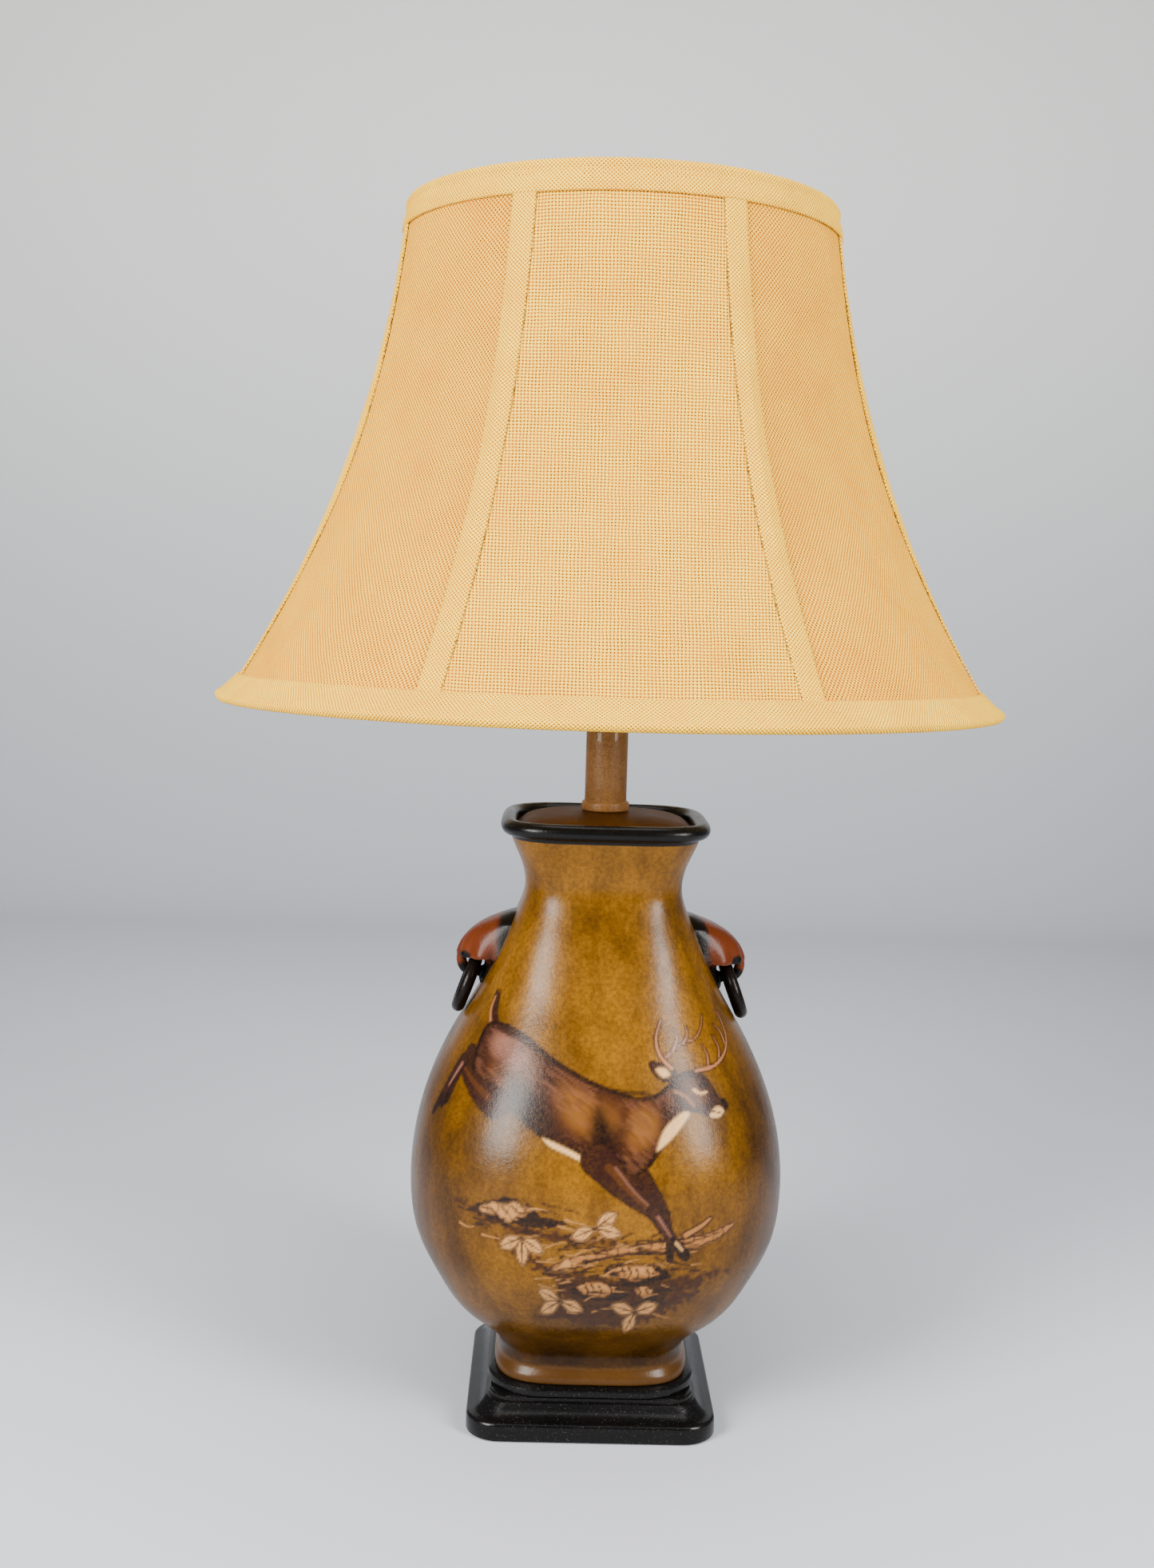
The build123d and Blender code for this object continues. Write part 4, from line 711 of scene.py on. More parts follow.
# Bias-cut burlap in a darker, more orange copy of the straight burlap's colours: the bias cut is real, the
# darker colour is painted shade.
SHADED_BURLAP_BIAS = Burlap("shaded_burlap_bias", paint(254, 212, 48), paint(236, 152, 14), paint(56, 28, 0),
                     cut=Weave.BIAS)
BURLAP_TAPE = Burlap("burlap_tape", paint(255, 230, 60), paint(250, 176, 2), paint(84, 46, 0), pitch=1.5,
                     cut=Weave.BIAS, depth=0.0007, edge=6.8)
BURLAP_TRIM = Burlap("burlap_trim", paint(255, 230, 66), paint(250, 178, 6), paint(84, 46, 0), pitch=1.5,
                     cut=Weave.BIAS, depth=0.0007)


def hand_over(piece: Piece, body: str, slot: str, finish: Finish, *nodes: str) -> Piece:
    """Finish one piece: dress it, seat it on its body and let it stand for its CAD nodes.

    Args:
        piece: The finished mesh.
        body: The CAD body it rides on.
        slot: The record's material slot; not used.
        finish: What it is dressed in.
        nodes: CAD nodes that it replaces.

    Returns:
        The same piece.
    """
    finish.dress(piece)
    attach(piece, body)
    if nodes:
        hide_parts(*nodes)
    LOG.info("%s: %d faces on %s", piece.name, len(piece.data.polygons), body)
    return piece


# ---------------------------------------------------------------------------------------- the painted scene
@dataclass
class Brush:
    """Lays paint on points of the vase, given by their distance round from the front and their height."""

    places: Array
    layer: Array = field(init=False)

    def __post_init__(self) -> None:
        """Start with nothing painted."""
        self.layer = np.zeros((len(self.places), 4))

    def lay(self, rows: Array, cover: Array, colour: Colour) -> None:
        """Lay a colour over what is there, as thick as cover from 0 to 1."""
        under, cover = self.layer[rows], np.clip(cover, 0.0, 1.0)[:, None]
        alpha = cover + under[:, 3:] * (1 - cover)
        mixed = np.asarray(colour) * cover + under[:, :3] * under[:, 3:] * (1 - cover)
        self.layer[rows] = np.concatenate([mixed / np.maximum(alpha, 1e-6), alpha], 1)

    def near(self, line: Array, margin: float) -> Array:
        """Numbers of the points in the line's box, grown by margin."""
        inside = (self.places > line.min(0) - margin) & (self.places < line.max(0) + margin)
        return np.flatnonzero(inside.all(1))

    def distance(self, rows: Array, line: Array, closed: bool) -> tuple[Array, Array, Array]:
        """Distance to the line, how far along it that is from 0 to 1, and whether the point is inside it."""
        at = self.places[rows]
        ends = np.roll(line, -1, 0) if closed else line[1:]
        starts = line if closed else line[:-1]
        best, along, inside = np.full(len(at), 1e9), np.zeros(len(at)), np.zeros(len(at), bool)
        for number, (start, end) in enumerate(zip(starts, ends)):
            run = end - start
            share = np.clip(((at - start) @ run) / max(float(run @ run), 1e-9), 0.0, 1.0)
            gap = np.hypot(*(at - start - share[:, None] * run).T)
            closer = gap < best
            best[closer], along[closer] = gap[closer], (number + share[closer]) / len(starts)
            crosses = (start[1] > at[:, 1]) != (end[1] > at[:, 1])
            rise = run[1] if abs(run[1]) > 1e-9 else 1e-9
            inside ^= crosses & (at[:, 0] < start[0] + (at[:, 1] - start[1]) * run[0] / rise)
        return best, along, inside

    def patch(self, outline: Sequence[Place], colour: Colour, edge: Colour | None = None,
              edge_width: float = 1.0, ragged: float = 0.0, soft: float = 0.7,
              smooth_outline: bool = True) -> None:
        """Fill a closed outline with a colour.

        Args:
            outline: The outline's points.
            colour: The fill.
            edge: A darker line just inside the outline.
            edge_width: Width of that line.
            ragged: How far the edge wanders in and out.
            soft: Width over which the edge fades.
            smooth_outline: Round the outline's corners.
        """
        line = smooth_line(outline, True) if smooth_outline else np.asarray(outline, float)
        rows = self.near(line, ragged + 2 * soft)
        gap, _, inside = self.distance(rows, line, True)
        depth = np.where(inside, gap, -gap) + ragged * (lattice_noise(self.places[rows], 2.4, 5) - 0.5) * 2
        fill = ease(depth, -soft, soft)
        self.lay(rows, fill, colour)
        if edge is not None:
            self.lay(rows, fill * (1 - ease(depth, edge_width - soft, edge_width + soft)), edge)

    def stroke(self, points: Sequence[Place], start: float, end: float, colour: Colour,
               edge: Colour | None = None, strength: float = 1.0) -> None:
        """One brush stroke whose width goes from start to end along it."""
        line = smooth_line(points, False)
        rows = self.near(line, max(start, end) + 1.5)
        gap, along, _ = self.distance(rows, line, False)
        depth = (start + (end - start) * along) / 2 - gap
        if edge is not None:
            self.lay(rows, strength * ease(depth, -1.2, 0.2), edge)
            depth = depth - 0.5
        self.lay(rows, strength * ease(depth, -0.6, 0.6), colour)

    def fur(self, outline: Sequence[Place], light: Colour, lean: float, amount: float) -> None:
        """Short pale hairs inside an outline, lying lean degrees from level."""
        line = smooth_line(outline, True)
        rows = self.near(line, 0.0)
        gap, _, inside = self.distance(rows, line, True)
        turn = math.radians(lean)
        at = self.places[rows]
        combed = np.stack([(at[:, 0] * math.cos(turn) + at[:, 1] * math.sin(turn)) / 6,
                           (at[:, 1] * math.cos(turn) - at[:, 0] * math.sin(turn)) / 1.3], 1)
        hairs = lattice_noise(combed, 1.0, 11) * lattice_noise(at, 14.0, 4) * 2
        self.lay(rows, inside * ease(gap, 1.0, 5.0) * ease(hairs, 0.35, 1.0) * amount, light)


@dataclass(frozen=True)
class Leaf:
    """One pointed leaf, lying at an angle from its stalk end."""

    root: Place
    turn: float
    length: float
    width: float

    def paint(self, brush: Brush, fill: Colour, dark: Colour) -> None:
        """Blade, midrib and two side veins."""
        turn = math.radians(self.turn)
        along = np.array([math.cos(turn), math.sin(turn)])
        across = np.array([-math.sin(turn), math.cos(turn)])
        share = np.array([0.0, 0.25, 0.55, 0.82, 1.0, 0.82, 0.55, 0.25])
        side = np.array([0.0, 0.34, 0.5, 0.3, 0.0, -0.3, -0.5, -0.34])
        root = np.asarray(self.root)
        blade = root + np.outer(share * self.length, along) + np.outer(side * self.width, across)
        brush.patch([tuple(point) for point in blade], fill, dark, 0.9)
        tip = root + along * self.length * 0.92
        brush.stroke([self.root, tuple(tip)], 1.2, 0.5, dark)
        for side_share in (-0.3, 0.3):
            start = root + along * self.length * 0.35
            vein = start + along * self.length * 0.25 + across * self.width * side_share
            brush.stroke([tuple(start), tuple(vein)], 0.7, 0.3, dark, strength=0.7)


class ForestScene:
    """A buck leaping over a fallen branch, leaves and stones, in browns and creams."""

    COAT = paint(34, 15, 11)
    COAT_WARM = paint(62, 33, 13)
    SHADE = paint(18, 7, 6)
    CREAM = paint(152, 106, 60)
    THROAT = paint(190, 148, 96)
    SHEEN = paint(112, 74, 62)
    LEAF = paint(164, 118, 70)
    HORN = paint(152, 98, 64)
    WOOD = paint(132, 86, 44)
    EARTH = paint(44, 21, 6)
    COAT_LIT = paint(98, 60, 22)
    HAIR = paint(112, 70, 50)

    BODY = ((-61, 233), (-46, 232), (-32, 223), (-19, 209), (-4, 198), (12, 189), (27, 185), (38, 187),
            (49, 197), (57, 188), (60, 178), (52, 163), (43, 151), (36, 140), (27, 133), (16, 134),
            (3, 136), (-4, 143),
            (-16, 150), (-28, 158), (-37, 168), (-46, 176), (-57, 176), (-68, 186), (-73, 204), (-69, 221))
    HEAD = ((49, 199), (57, 205), (67, 202), (73, 196), (78, 189), (84, 183), (81, 176), (74, 174), (65, 177),
            (56, 178), (49, 187))
    EAR = ((34, 209), (43, 208), (51, 202), (49, 197), (42, 196), (36, 201))

    def paint(self, brush: Brush) -> None:
        """Paint the whole scene, from the ground up."""
        self.ground(brush)
        self.far_legs(brush)
        self.body(brush)
        self.near_legs(brush)
        self.head(brush)
        self.antlers(brush)

    def ground(self, brush: Brush) -> None:
        """A bank, a broken branch, stones and fallen leaves over dark earth."""
        for outline in (((-92, 124), (-60, 112), (-30, 100), (10, 96), (22, 92), (-10, 94), (-44, 100),
                         (-70, 112)),
                        ((-62, 100), (-40, 88), (-12, 76), (40, 72), (92, 80), (74, 70), (50, 62), (44, 50),
                         (4, 44), (-36, 48), (-22, 66), (-44, 84)),
                        ((-44, 50), (-10, 44), (24, 40), (52, 52), (70, 66), (30, 58), (-10, 54))):
            brush.patch(outline, self.EARTH, ragged=3.6, soft=2.2)
        brush.patch(((-76, 117), (-62, 122), (-50, 122), (-38, 117), (-30, 110), (-12, 105), (-26, 103),
                     (-48, 106), (-64, 110)), self.SHADE, ragged=1.2)
        brush.patch(((-72, 116), (-62, 120), (-54, 118), (-46, 119), (-38, 114), (-46, 111), (-52, 108),
                     (-58, 112)), self.CREAM, ragged=0.8, soft=1.6)
        for x in (-68, -60, -53, -47, -41):
            brush.stroke(((x, 121), (x + 2, 117), (x - 1, 112)), 1.3, 0.6, self.SHADE, strength=0.7)
        for x in (-64, -56, -49, -43):
            brush.stroke(((x, 117), (x + 5, 111), (x + 7, 106)), 1.6, 0.6, self.SHADE, strength=0.8)
        log = ((-30, 79), (-16, 85), (0, 88), (20, 92), (44, 96), (70, 101), (94, 110), (92, 104), (72, 94),
               (46, 88), (22, 86), (2, 82), (-14, 78))
        brush.patch(log, self.WOOD, self.SHADE, 1.3, ragged=0.6)
        for x in range(-6, 88, 7):
            z = 85.5 + (x + 6) * 0.2
            brush.stroke(((x, z + 2), (x + 2, z - 1), (x + 1, z - 4)), 1.6, 0.6, self.SHADE, strength=0.75)
        brush.stroke(((-10, 81), (20, 87), (46, 91), (84, 103)), 1.6, 1.0, self.SHADE, strength=0.8)
        brush.stroke(((60, 100), (70, 106), (76, 111)), 4.0, 2.6, self.WOOD, self.SHADE)
        brush.patch(((-33, 78), (-24, 80), (-17, 85), (-13, 82), (-16, 77), (-24, 77)), self.CREAM,
                    self.SHADE, 0.8)
        stones = (((7, 77), (22, 81), (44, 80), (51, 74), (30, 67), (16, 71)),
                  ((-15, 66), (0, 71), (13, 68), (23, 62), (8, 57), (-9, 60)),
                  ((27, 64), (36, 67), (42, 61), (33, 58)))
        for stone in stones:
            centre = np.mean(stone, 0)
            brush.patch(stone, self.SHADE, ragged=1.2)
            for scale, shift, colour, ragged, soft in ((0.72, (-1.5, 1.4), self.WOOD, 0.8, 1.0),
                                                       ((0.62, 0.3), (-1.0, 2.6), self.CREAM, 1.2, 0.8)):
                face = [tuple(centre + (np.asarray(point) - centre) * scale + shift) for point in stone]
                brush.patch(face, colour, ragged=ragged, soft=soft, smooth_outline=False)
            for x, z in ((-9, 3), (-5, 4), (0, 3), (7, 3), (11, 1)):
                crack = [tuple(centre + shift) for shift in ((x, z), (x + 1.5, z - 3), (x - 0.5, z - 7))]
                brush.stroke(crack, 1.6, 0.5, self.SHADE)
        self.litter(brush)
        for root, turns in (((-45, 98), (195, 265, 325)), ((3, 102), (35, 200, -12)),
                            ((-24, 58), (150, 205, -25)), ((27, 50), (20, 165, 240))):
            for turn in turns:
                Leaf(root, turn, 17.0, 9.0).paint(brush, self.LEAF, self.SHADE)

    def litter(self, brush: Brush) -> None:
        """Seeded short strokes, dark and light, that lie along the ground like twigs and blades."""
        chance = np.random.default_rng(6)
        for number in range(150):
            x, z = chance.uniform(-46, 66), chance.uniform(46, 98)
            if abs(x - 10) > 30 + (z - 46) * 0.75:
                continue
            reach, lift = chance.uniform(5, 15), chance.uniform(-2.5, 3.5)
            line = ((x, z), (x + reach / 2, z + lift * 0.7), (x + reach, z + lift))
            light = number % 3 == 0
            brush.stroke(line, 0.9 if light else 1.9, 0.4, self.CREAM if light else self.SHADE,
                         strength=0.75 if light else 0.85)
        for number in range(26):
            x, z = chance.uniform(-90, -12), chance.uniform(101, 119)
            line = ((x, z), (x + 6, z - chance.uniform(0, 3)), (x + chance.uniform(8, 14), z - 3))
            brush.stroke(line, 1.5, 0.4, self.SHADE if number % 4 else self.CREAM, strength=0.8)

    def far_legs(self, brush: Brush) -> None:
        """The hind and fore legs on the far side."""
        brush.stroke(((-64, 196), (-70, 206), (-75, 214)), 17, 9, self.COAT, self.SHADE)
        brush.stroke(((-76, 214), (-88, 200), (-98, 185)), 8.0, 5.6, self.COAT, self.SHADE)
        brush.stroke(((-98, 186), (-104, 181)), 6.4, 4.0, self.SHADE)
        brush.stroke(((28, 138), (39, 122), (46, 112)), 13, 6.5, self.COAT, self.SHADE)
        brush.stroke(((46, 112), (49, 101), (50, 92)), 5.6, 4.2, self.COAT, self.SHADE)
        brush.stroke(((50, 92), (50, 85)), 5.0, 5.6, self.SHADE)

    def near_legs(self, brush: Brush) -> None:
        """The hind and fore legs on the near side, with lit shins."""
        brush.stroke(((-56, 181), (-68, 190), (-82, 206)), 20, 9, self.COAT, self.SHADE)
        brush.stroke(((-83, 208), (-95, 196), (-107, 184)), 9.0, 6.0, self.COAT, self.SHADE)
        brush.stroke(((-84, 206), (-97, 193)), 2.6, 1.4, self.SHEEN, strength=0.8)
        brush.stroke(((-60, 184), (-70, 193), (-80, 203)), 5.0, 2.4, self.COAT_WARM, strength=0.8)
        brush.stroke(((-106, 186), (-116, 178)), 7.0, 4.4, self.SHADE)
        brush.stroke(((6, 143), (22, 126), (39, 113)), 21, 9, self.COAT, self.SHADE)
        brush.stroke(((12, 139), (24, 125), (38, 113)), 5.0, 2.4, self.COAT_WARM, strength=0.8)
        brush.stroke(((16, 139), (27, 125), (38, 115)), 1.6, 1.0, self.SHEEN, strength=0.6)
        brush.stroke(((39, 113), (47, 102), (54, 94)), 8.0, 6.0, self.COAT, self.SHADE)
        brush.stroke(((42, 110), (50, 99)), 2.2, 1.2, self.SHEEN, strength=0.7)
        brush.stroke(((53, 95), (60, 88)), 6.6, 8.0, self.SHADE)
        brush.stroke(((54, 95), (58, 91)), 2.0, 1.6, self.THROAT, strength=0.7)

    def body(self, brush: Brush) -> None:
        """Rump, barrel, shoulder and neck, the raised tail and the pale underside."""
        brush.stroke(((-57, 230), (-58, 242), (-56, 255)), 9, 4.5, self.COAT, self.SHADE)
        brush.stroke(((-60, 232), (-61, 242), (-58, 252)), 2.6, 1.2, self.HORN, strength=0.7)
        brush.patch(self.BODY, self.COAT, self.SHADE, 2.4)
        brush.patch(((-50, 224), (-36, 218), (-24, 204), (-30, 190), (-44, 186), (-56, 194), (-60, 212)),
                    self.COAT_WARM, soft=7.0)
        brush.patch(((-16, 198), (6, 186), (22, 178), (16, 160), (-4, 158), (-20, 174)), self.COAT_WARM,
                    soft=8.0)
        brush.patch(((24, 176), (38, 180), (42, 166), (32, 148), (22, 150)), self.COAT_WARM, soft=6.0)
        brush.patch(((-54, 226), (-42, 222), (-34, 210), (-42, 204), (-56, 214)), self.SHEEN, soft=6.0)
        brush.patch(((-14, 190), (4, 180), (16, 170), (8, 158), (-10, 166)), self.COAT_LIT, soft=6.0)
        brush.patch(((26, 174), (37, 178), (40, 164), (32, 152), (25, 156)), self.COAT_LIT, soft=4.5)
        brush.fur(self.BODY, self.HAIR, -38.0, 0.34)
        brush.fur(self.BODY, self.SHADE, -46.0, 0.3)
        brush.stroke(((-52, 230), (-32, 219), (-14, 203), (10, 189), (34, 187)), 5.0, 3.0, self.SHADE,
                     strength=0.7)
        brush.patch(((-42, 196), (-28, 184), (-22, 166), (-34, 166), (-48, 180)), self.SHADE, soft=7.0)
        brush.patch(((6, 178), (15, 162), (14, 142), (5, 146), (1, 162)), self.SHADE, soft=6.0)
        brush.stroke(((-38, 170), (-20, 156), (0, 144)), 5.0, 4.0, self.SHADE, strength=0.6)
        brush.patch(((-27, 158), (-16, 153), (-4, 146), (-2, 141), (-12, 146), (-23, 152)), self.THROAT,
                    self.SHADE, 0.6)
        brush.patch(((56, 178), (60, 177), (53, 164), (45, 154), (40, 151), (43, 163), (49, 172)),
                    self.THROAT, self.SHADE, 0.6)

    def head(self, brush: Brush) -> None:
        """Head in profile with its ears, eye, pale muzzle and dark nose."""
        brush.patch(self.EAR, self.COAT, self.SHADE, 0.8)
        brush.patch(((38, 204), (43, 205), (46, 201), (42, 199)), self.THROAT, soft=1.4)
        brush.patch(self.HEAD, self.COAT, self.SHADE, 0.9)
        brush.patch(((55, 197), (62, 198), (70, 190), (66, 182), (57, 183)), self.COAT_WARM, soft=3.0)
        brush.patch(((75, 181), (79, 182), (82, 179), (78, 175), (72, 175.5)), self.THROAT, soft=1.2)
        brush.stroke(((61, 192), (65, 190), (69, 191)), 2.2, 1.4, self.THROAT, strength=0.9)
        brush.patch(((63, 196), (67, 198), (70, 195), (66, 193)), self.SHADE)
        brush.stroke(((81, 186), (84, 183)), 4.4, 3.8, self.SHADE)
        brush.stroke(((73, 179), (81, 178)), 1.2, 0.9, self.SHADE)
        brush.stroke(((50, 190), (56, 187), (62, 181)), 2.4, 1.0, self.HORN, strength=0.5)

    def antlers(self, brush: Brush) -> None:
        """Two main beams, each with its tines."""
        left = ((47, 205), (40, 213), (37, 225), (39, 239))
        right = ((62, 205), (74, 209), (83, 218), (87, 229), (84, 241), (79, 248))
        tines = (((42, 211), (51, 222), (60, 227), (64, 235), (65, 244)), ((53, 223), (55, 229), (54, 235)),
                 ((47, 217), (49, 226), (47, 233)), ((70, 207), (69, 216), (65, 223)),
                 ((78, 212), (78, 222), (73, 230)), ((85, 224), (81, 233), (75, 238)))
        for tine in tines:
            brush.stroke(tine, 2.3, 1.2, self.HORN, self.SHADE, 0.9)
        for beam in (left, right):
            brush.stroke(beam, 3.2, 1.3, self.HORN, self.SHADE, 0.95)


# ---------------------------------------------------------------------------------------- vase
@dataclass
class Vase:
    """The ceramic vase: a rounded square that swells from a tan foot to a belly and closes to a neck."""

    foot_z: float = 28.1
    foot_half: float = 57.8
    foot_band: float = 9.6
    waist: Place = (55.4, 41.0)
    belly: Place = (110.7, 134.0)
    neck: Place = (47.1, 312.0)
    lip: Place = (56.9, 353.0)
    bead: float = 4.7
    wall: float = 5.0
    swell: tuple[Place, ...] = ((0.12, 0.10), (0.29, 0.42), (0.53, 0.72), (0.77, 0.93))
    taper: tuple[Place, ...] = ((0.29, 0.09), (0.51, 0.35), (0.72, 0.68), (0.88, 0.87))
    flare: tuple[Place, ...] = ((0.49, 0.17), (0.83, 0.56))
    scene_heights: Place = (44.0, 258.0)
    scene_half_turn: float = 62.0
    scene_columns: int = 240
    rows_under_lip: int = 12
    band_top: Place = (55.8, 37.5)
    lip_rim: float = 61.6

    def squareness(self, height: Array) -> Array:
        """Power of the outline |x|^p + |y|^p = half^p: high at foot and lip, low at the belly."""
        share = (height - 28.0) / 325.0
        low = (1 - np.clip(share / 0.3, 0.0, 1.0)) ** 1.5
        high = np.clip((share - 0.55) / 0.45, 0.0, None) ** 2
        return 2.6 + 1.4 * low + 1.4 * high

    def half_width(self, height: Array) -> Array:
        """Half the width across the flats from the waist's top edge to the lip: a natural cubic by height."""
        def between(start: Place, end: Place, shares: tuple[Place, ...]) -> list[Place]:
            """The given shares of the way from start to end as (half width, height)."""
            return [(start[0] + part * (end[0] - start[0]), start[1] + along * (end[1] - start[1]))
                    for along, part in shares]

        lip_rim = (self.lip_rim, self.lip[1])
        stations = [self.band_top, self.waist, *between(self.waist, self.belly, self.swell), self.belly,
                    *between(self.belly, self.neck, self.taper), self.neck,
                    *between(self.neck, lip_rim, self.flare), self.lip]
        halves, heights = zip(*stations)
        return natural_curve(heights, halves, np.asarray(height, float))

    def outline(self, half: Array, height: Array, turns: Array) -> Array:
        """Rows of rounded-square rings: reach = half / (|cos|^p + |sin|^p)^(1/p) in each direction."""
        power = self.squareness(height)[:, None]
        sides = np.abs(np.cos(turns)) ** power + np.abs(np.sin(turns)) ** power
        reach = half[:, None] / sides ** (1 / power)
        return spread(reach * np.cos(turns), reach * np.sin(turns), height[:, None])

    def profile(self) -> Array:
        """Half widths and heights of the section: out from the hole in the floor, up inside, down outside."""
        low, high = self.scene_heights
        inside_heights = np.array([44.0, 60, 84, 110, 134, 165, 200, 235, 270, 300, 325, 344])
        inside = [*zip(self.half_width(inside_heights) - self.wall, inside_heights)]
        mouth = self.lip[0] - self.bead
        bead = round_corner(self.lip, self.bead, 180.0, -62.0, 16)
        outside_heights = np.concatenate([np.linspace(348.0, high, 30), np.linspace(high, low, 214)[1:],
                                          np.linspace(low, 38.4, 5)[1:]])
        outside = list(zip(self.half_width(outside_heights), outside_heights))
        band_top = self.foot_z + self.foot_band
        flare = ease(np.linspace(0.0, 1.0, 7), 0.0, 1.0)
        band = [*zip(self.waist[0] + 0.3 + (self.foot_half - self.waist[0] - 0.3) * flare,
                     np.linspace(band_top, self.foot_z + 3.4, 7)),
                *round_corner((self.foot_half - 1.2, self.foot_z + 1.2), 1.2, 0.0, -90.0, 4)]
        rows = [(6.0, 39.0), (40.0, 39.5), *inside, (mouth, 347.0), *bead, *outside, *band,
                (6.0, self.foot_z)]
        return np.asarray(rows, float).T

    def turns(self) -> Array:
        """Directions of the columns in radians, close together across the painted front."""
        front = np.linspace(-90 - self.scene_half_turn, -90 + self.scene_half_turn, self.scene_columns)
        back = np.linspace(-90 + self.scene_half_turn, 270 - self.scene_half_turn, 60)[1:-1]
        return np.radians(np.concatenate([front, back]))

    def build(self) -> Piece:
        """The vase with its painted scene."""
        half, height = self.profile()
        turns = self.turns()
        points = self.outline(half, height, turns)
        made = grid_object("vase", points, close_rows=True, close_columns=True, crease=50.0)
        self.paint(made, points)
        return hand_over(made, "base", "vase_glaze", VASE_GLAZE, "vase_body")

    @staticmethod
    def on_sheet(around: Array, height: Array) -> Array:
        """Where places on the vase lie on the flat sheet that the scene is drawn on: a second-degree stretch
        that eases the drawing over the swell."""
        u, v = around / 100, height / 100
        terms = np.stack([np.ones_like(u), u, v, u * u, u * v, v * v], 1)
        across = (-14.6, 140.3, 20.6, -2.0, -18.1, -4.6)
        up = (-11.1, -7.5, 52.4, 16.9, 3.8, 18.6)
        return terms @ np.array([across, up]).T

    def paint(self, piece: Piece, points: Array) -> None:
        """Paint the scene on the front: places are arc length from the front's middle, and height."""
        gaps = np.hypot(*(np.diff(points[:, :, :2], axis=1)).transpose(2, 0, 1))
        around = np.concatenate([np.zeros((len(points), 1)), np.cumsum(gaps, 1)], 1)
        right = self.scene_columns // 2
        around = around - (around[:, right - 1:right] + around[:, right:right + 1]) / 2
        shown = np.zeros(points.shape[:2], bool)
        first = int(np.argmax(points[:, 0, 2])) + self.rows_under_lip
        shown[first:, :self.scene_columns] = True
        brush = Brush(self.on_sheet(around[shown], points[shown][:, 2]))
        ForestScene().paint(brush)
        layer = np.zeros((*points.shape[:2], 4), np.float32)
        layer[shown] = brush.layer
        attribute = piece.data.color_attributes.new("scene", "FLOAT_COLOR", "POINT")
        attribute.data.foreach_set("color", layer.ravel())


@dataclass
class Cap:
    """The low dome that closes the vase's mouth."""

    base: float = 348.4
    half: float = 51.9
    rise: float = 11.7
    sheet: float = 1.2
    hole: float = 5.1
    rim: float = 1.0
    round_reach: float = 20.0

    def build(self) -> Piece:
        """A closed shell: out over the dome and back underneath, on the vase's rounded square."""
        share = np.linspace(1.0, 0.0, 14)
        swell = self.rise - self.rim
        dome = [(self.half * part, self.base + self.rim + swell * math.sqrt(1 - 0.97 * part ** 2.6))
                for part in share]
        top = [(max(half, self.hole), height) for half, height in dome]
        under = [(max(half - self.sheet, self.hole), height - self.sheet) for half, height in reversed(dome)]
        rows = [(self.half, self.base), *top, *under, (self.half - self.sheet, self.base)]
        half, height = np.asarray(rows).T
        turns = np.radians(np.arange(0, 360, 4.0))
        circle = np.clip((half - self.hole) / self.round_reach, 0.0, 1.0)[:, None]
        square = Vase().outline(half, np.full(len(half), Vase.lip[1]), turns)
        ring = half[:, None] * np.stack([np.cos(turns), np.sin(turns)], 0)[:, None, :]
        blend = circle[..., None]
        square[:, :, :2] = blend * square[:, :, :2] + (1 - blend) * ring.transpose(1, 2, 0)
        square[:, :, 2] = height[:, None]
        made = grid_object("vase_cap_dome", square, close_rows=True, close_columns=True)
        # The dome wears the darker copy of the brown enamel: painted shade.
        return hand_over(made, "base", "brown_enamel", SHADED_CAP_ENAMEL, "vase_cap")


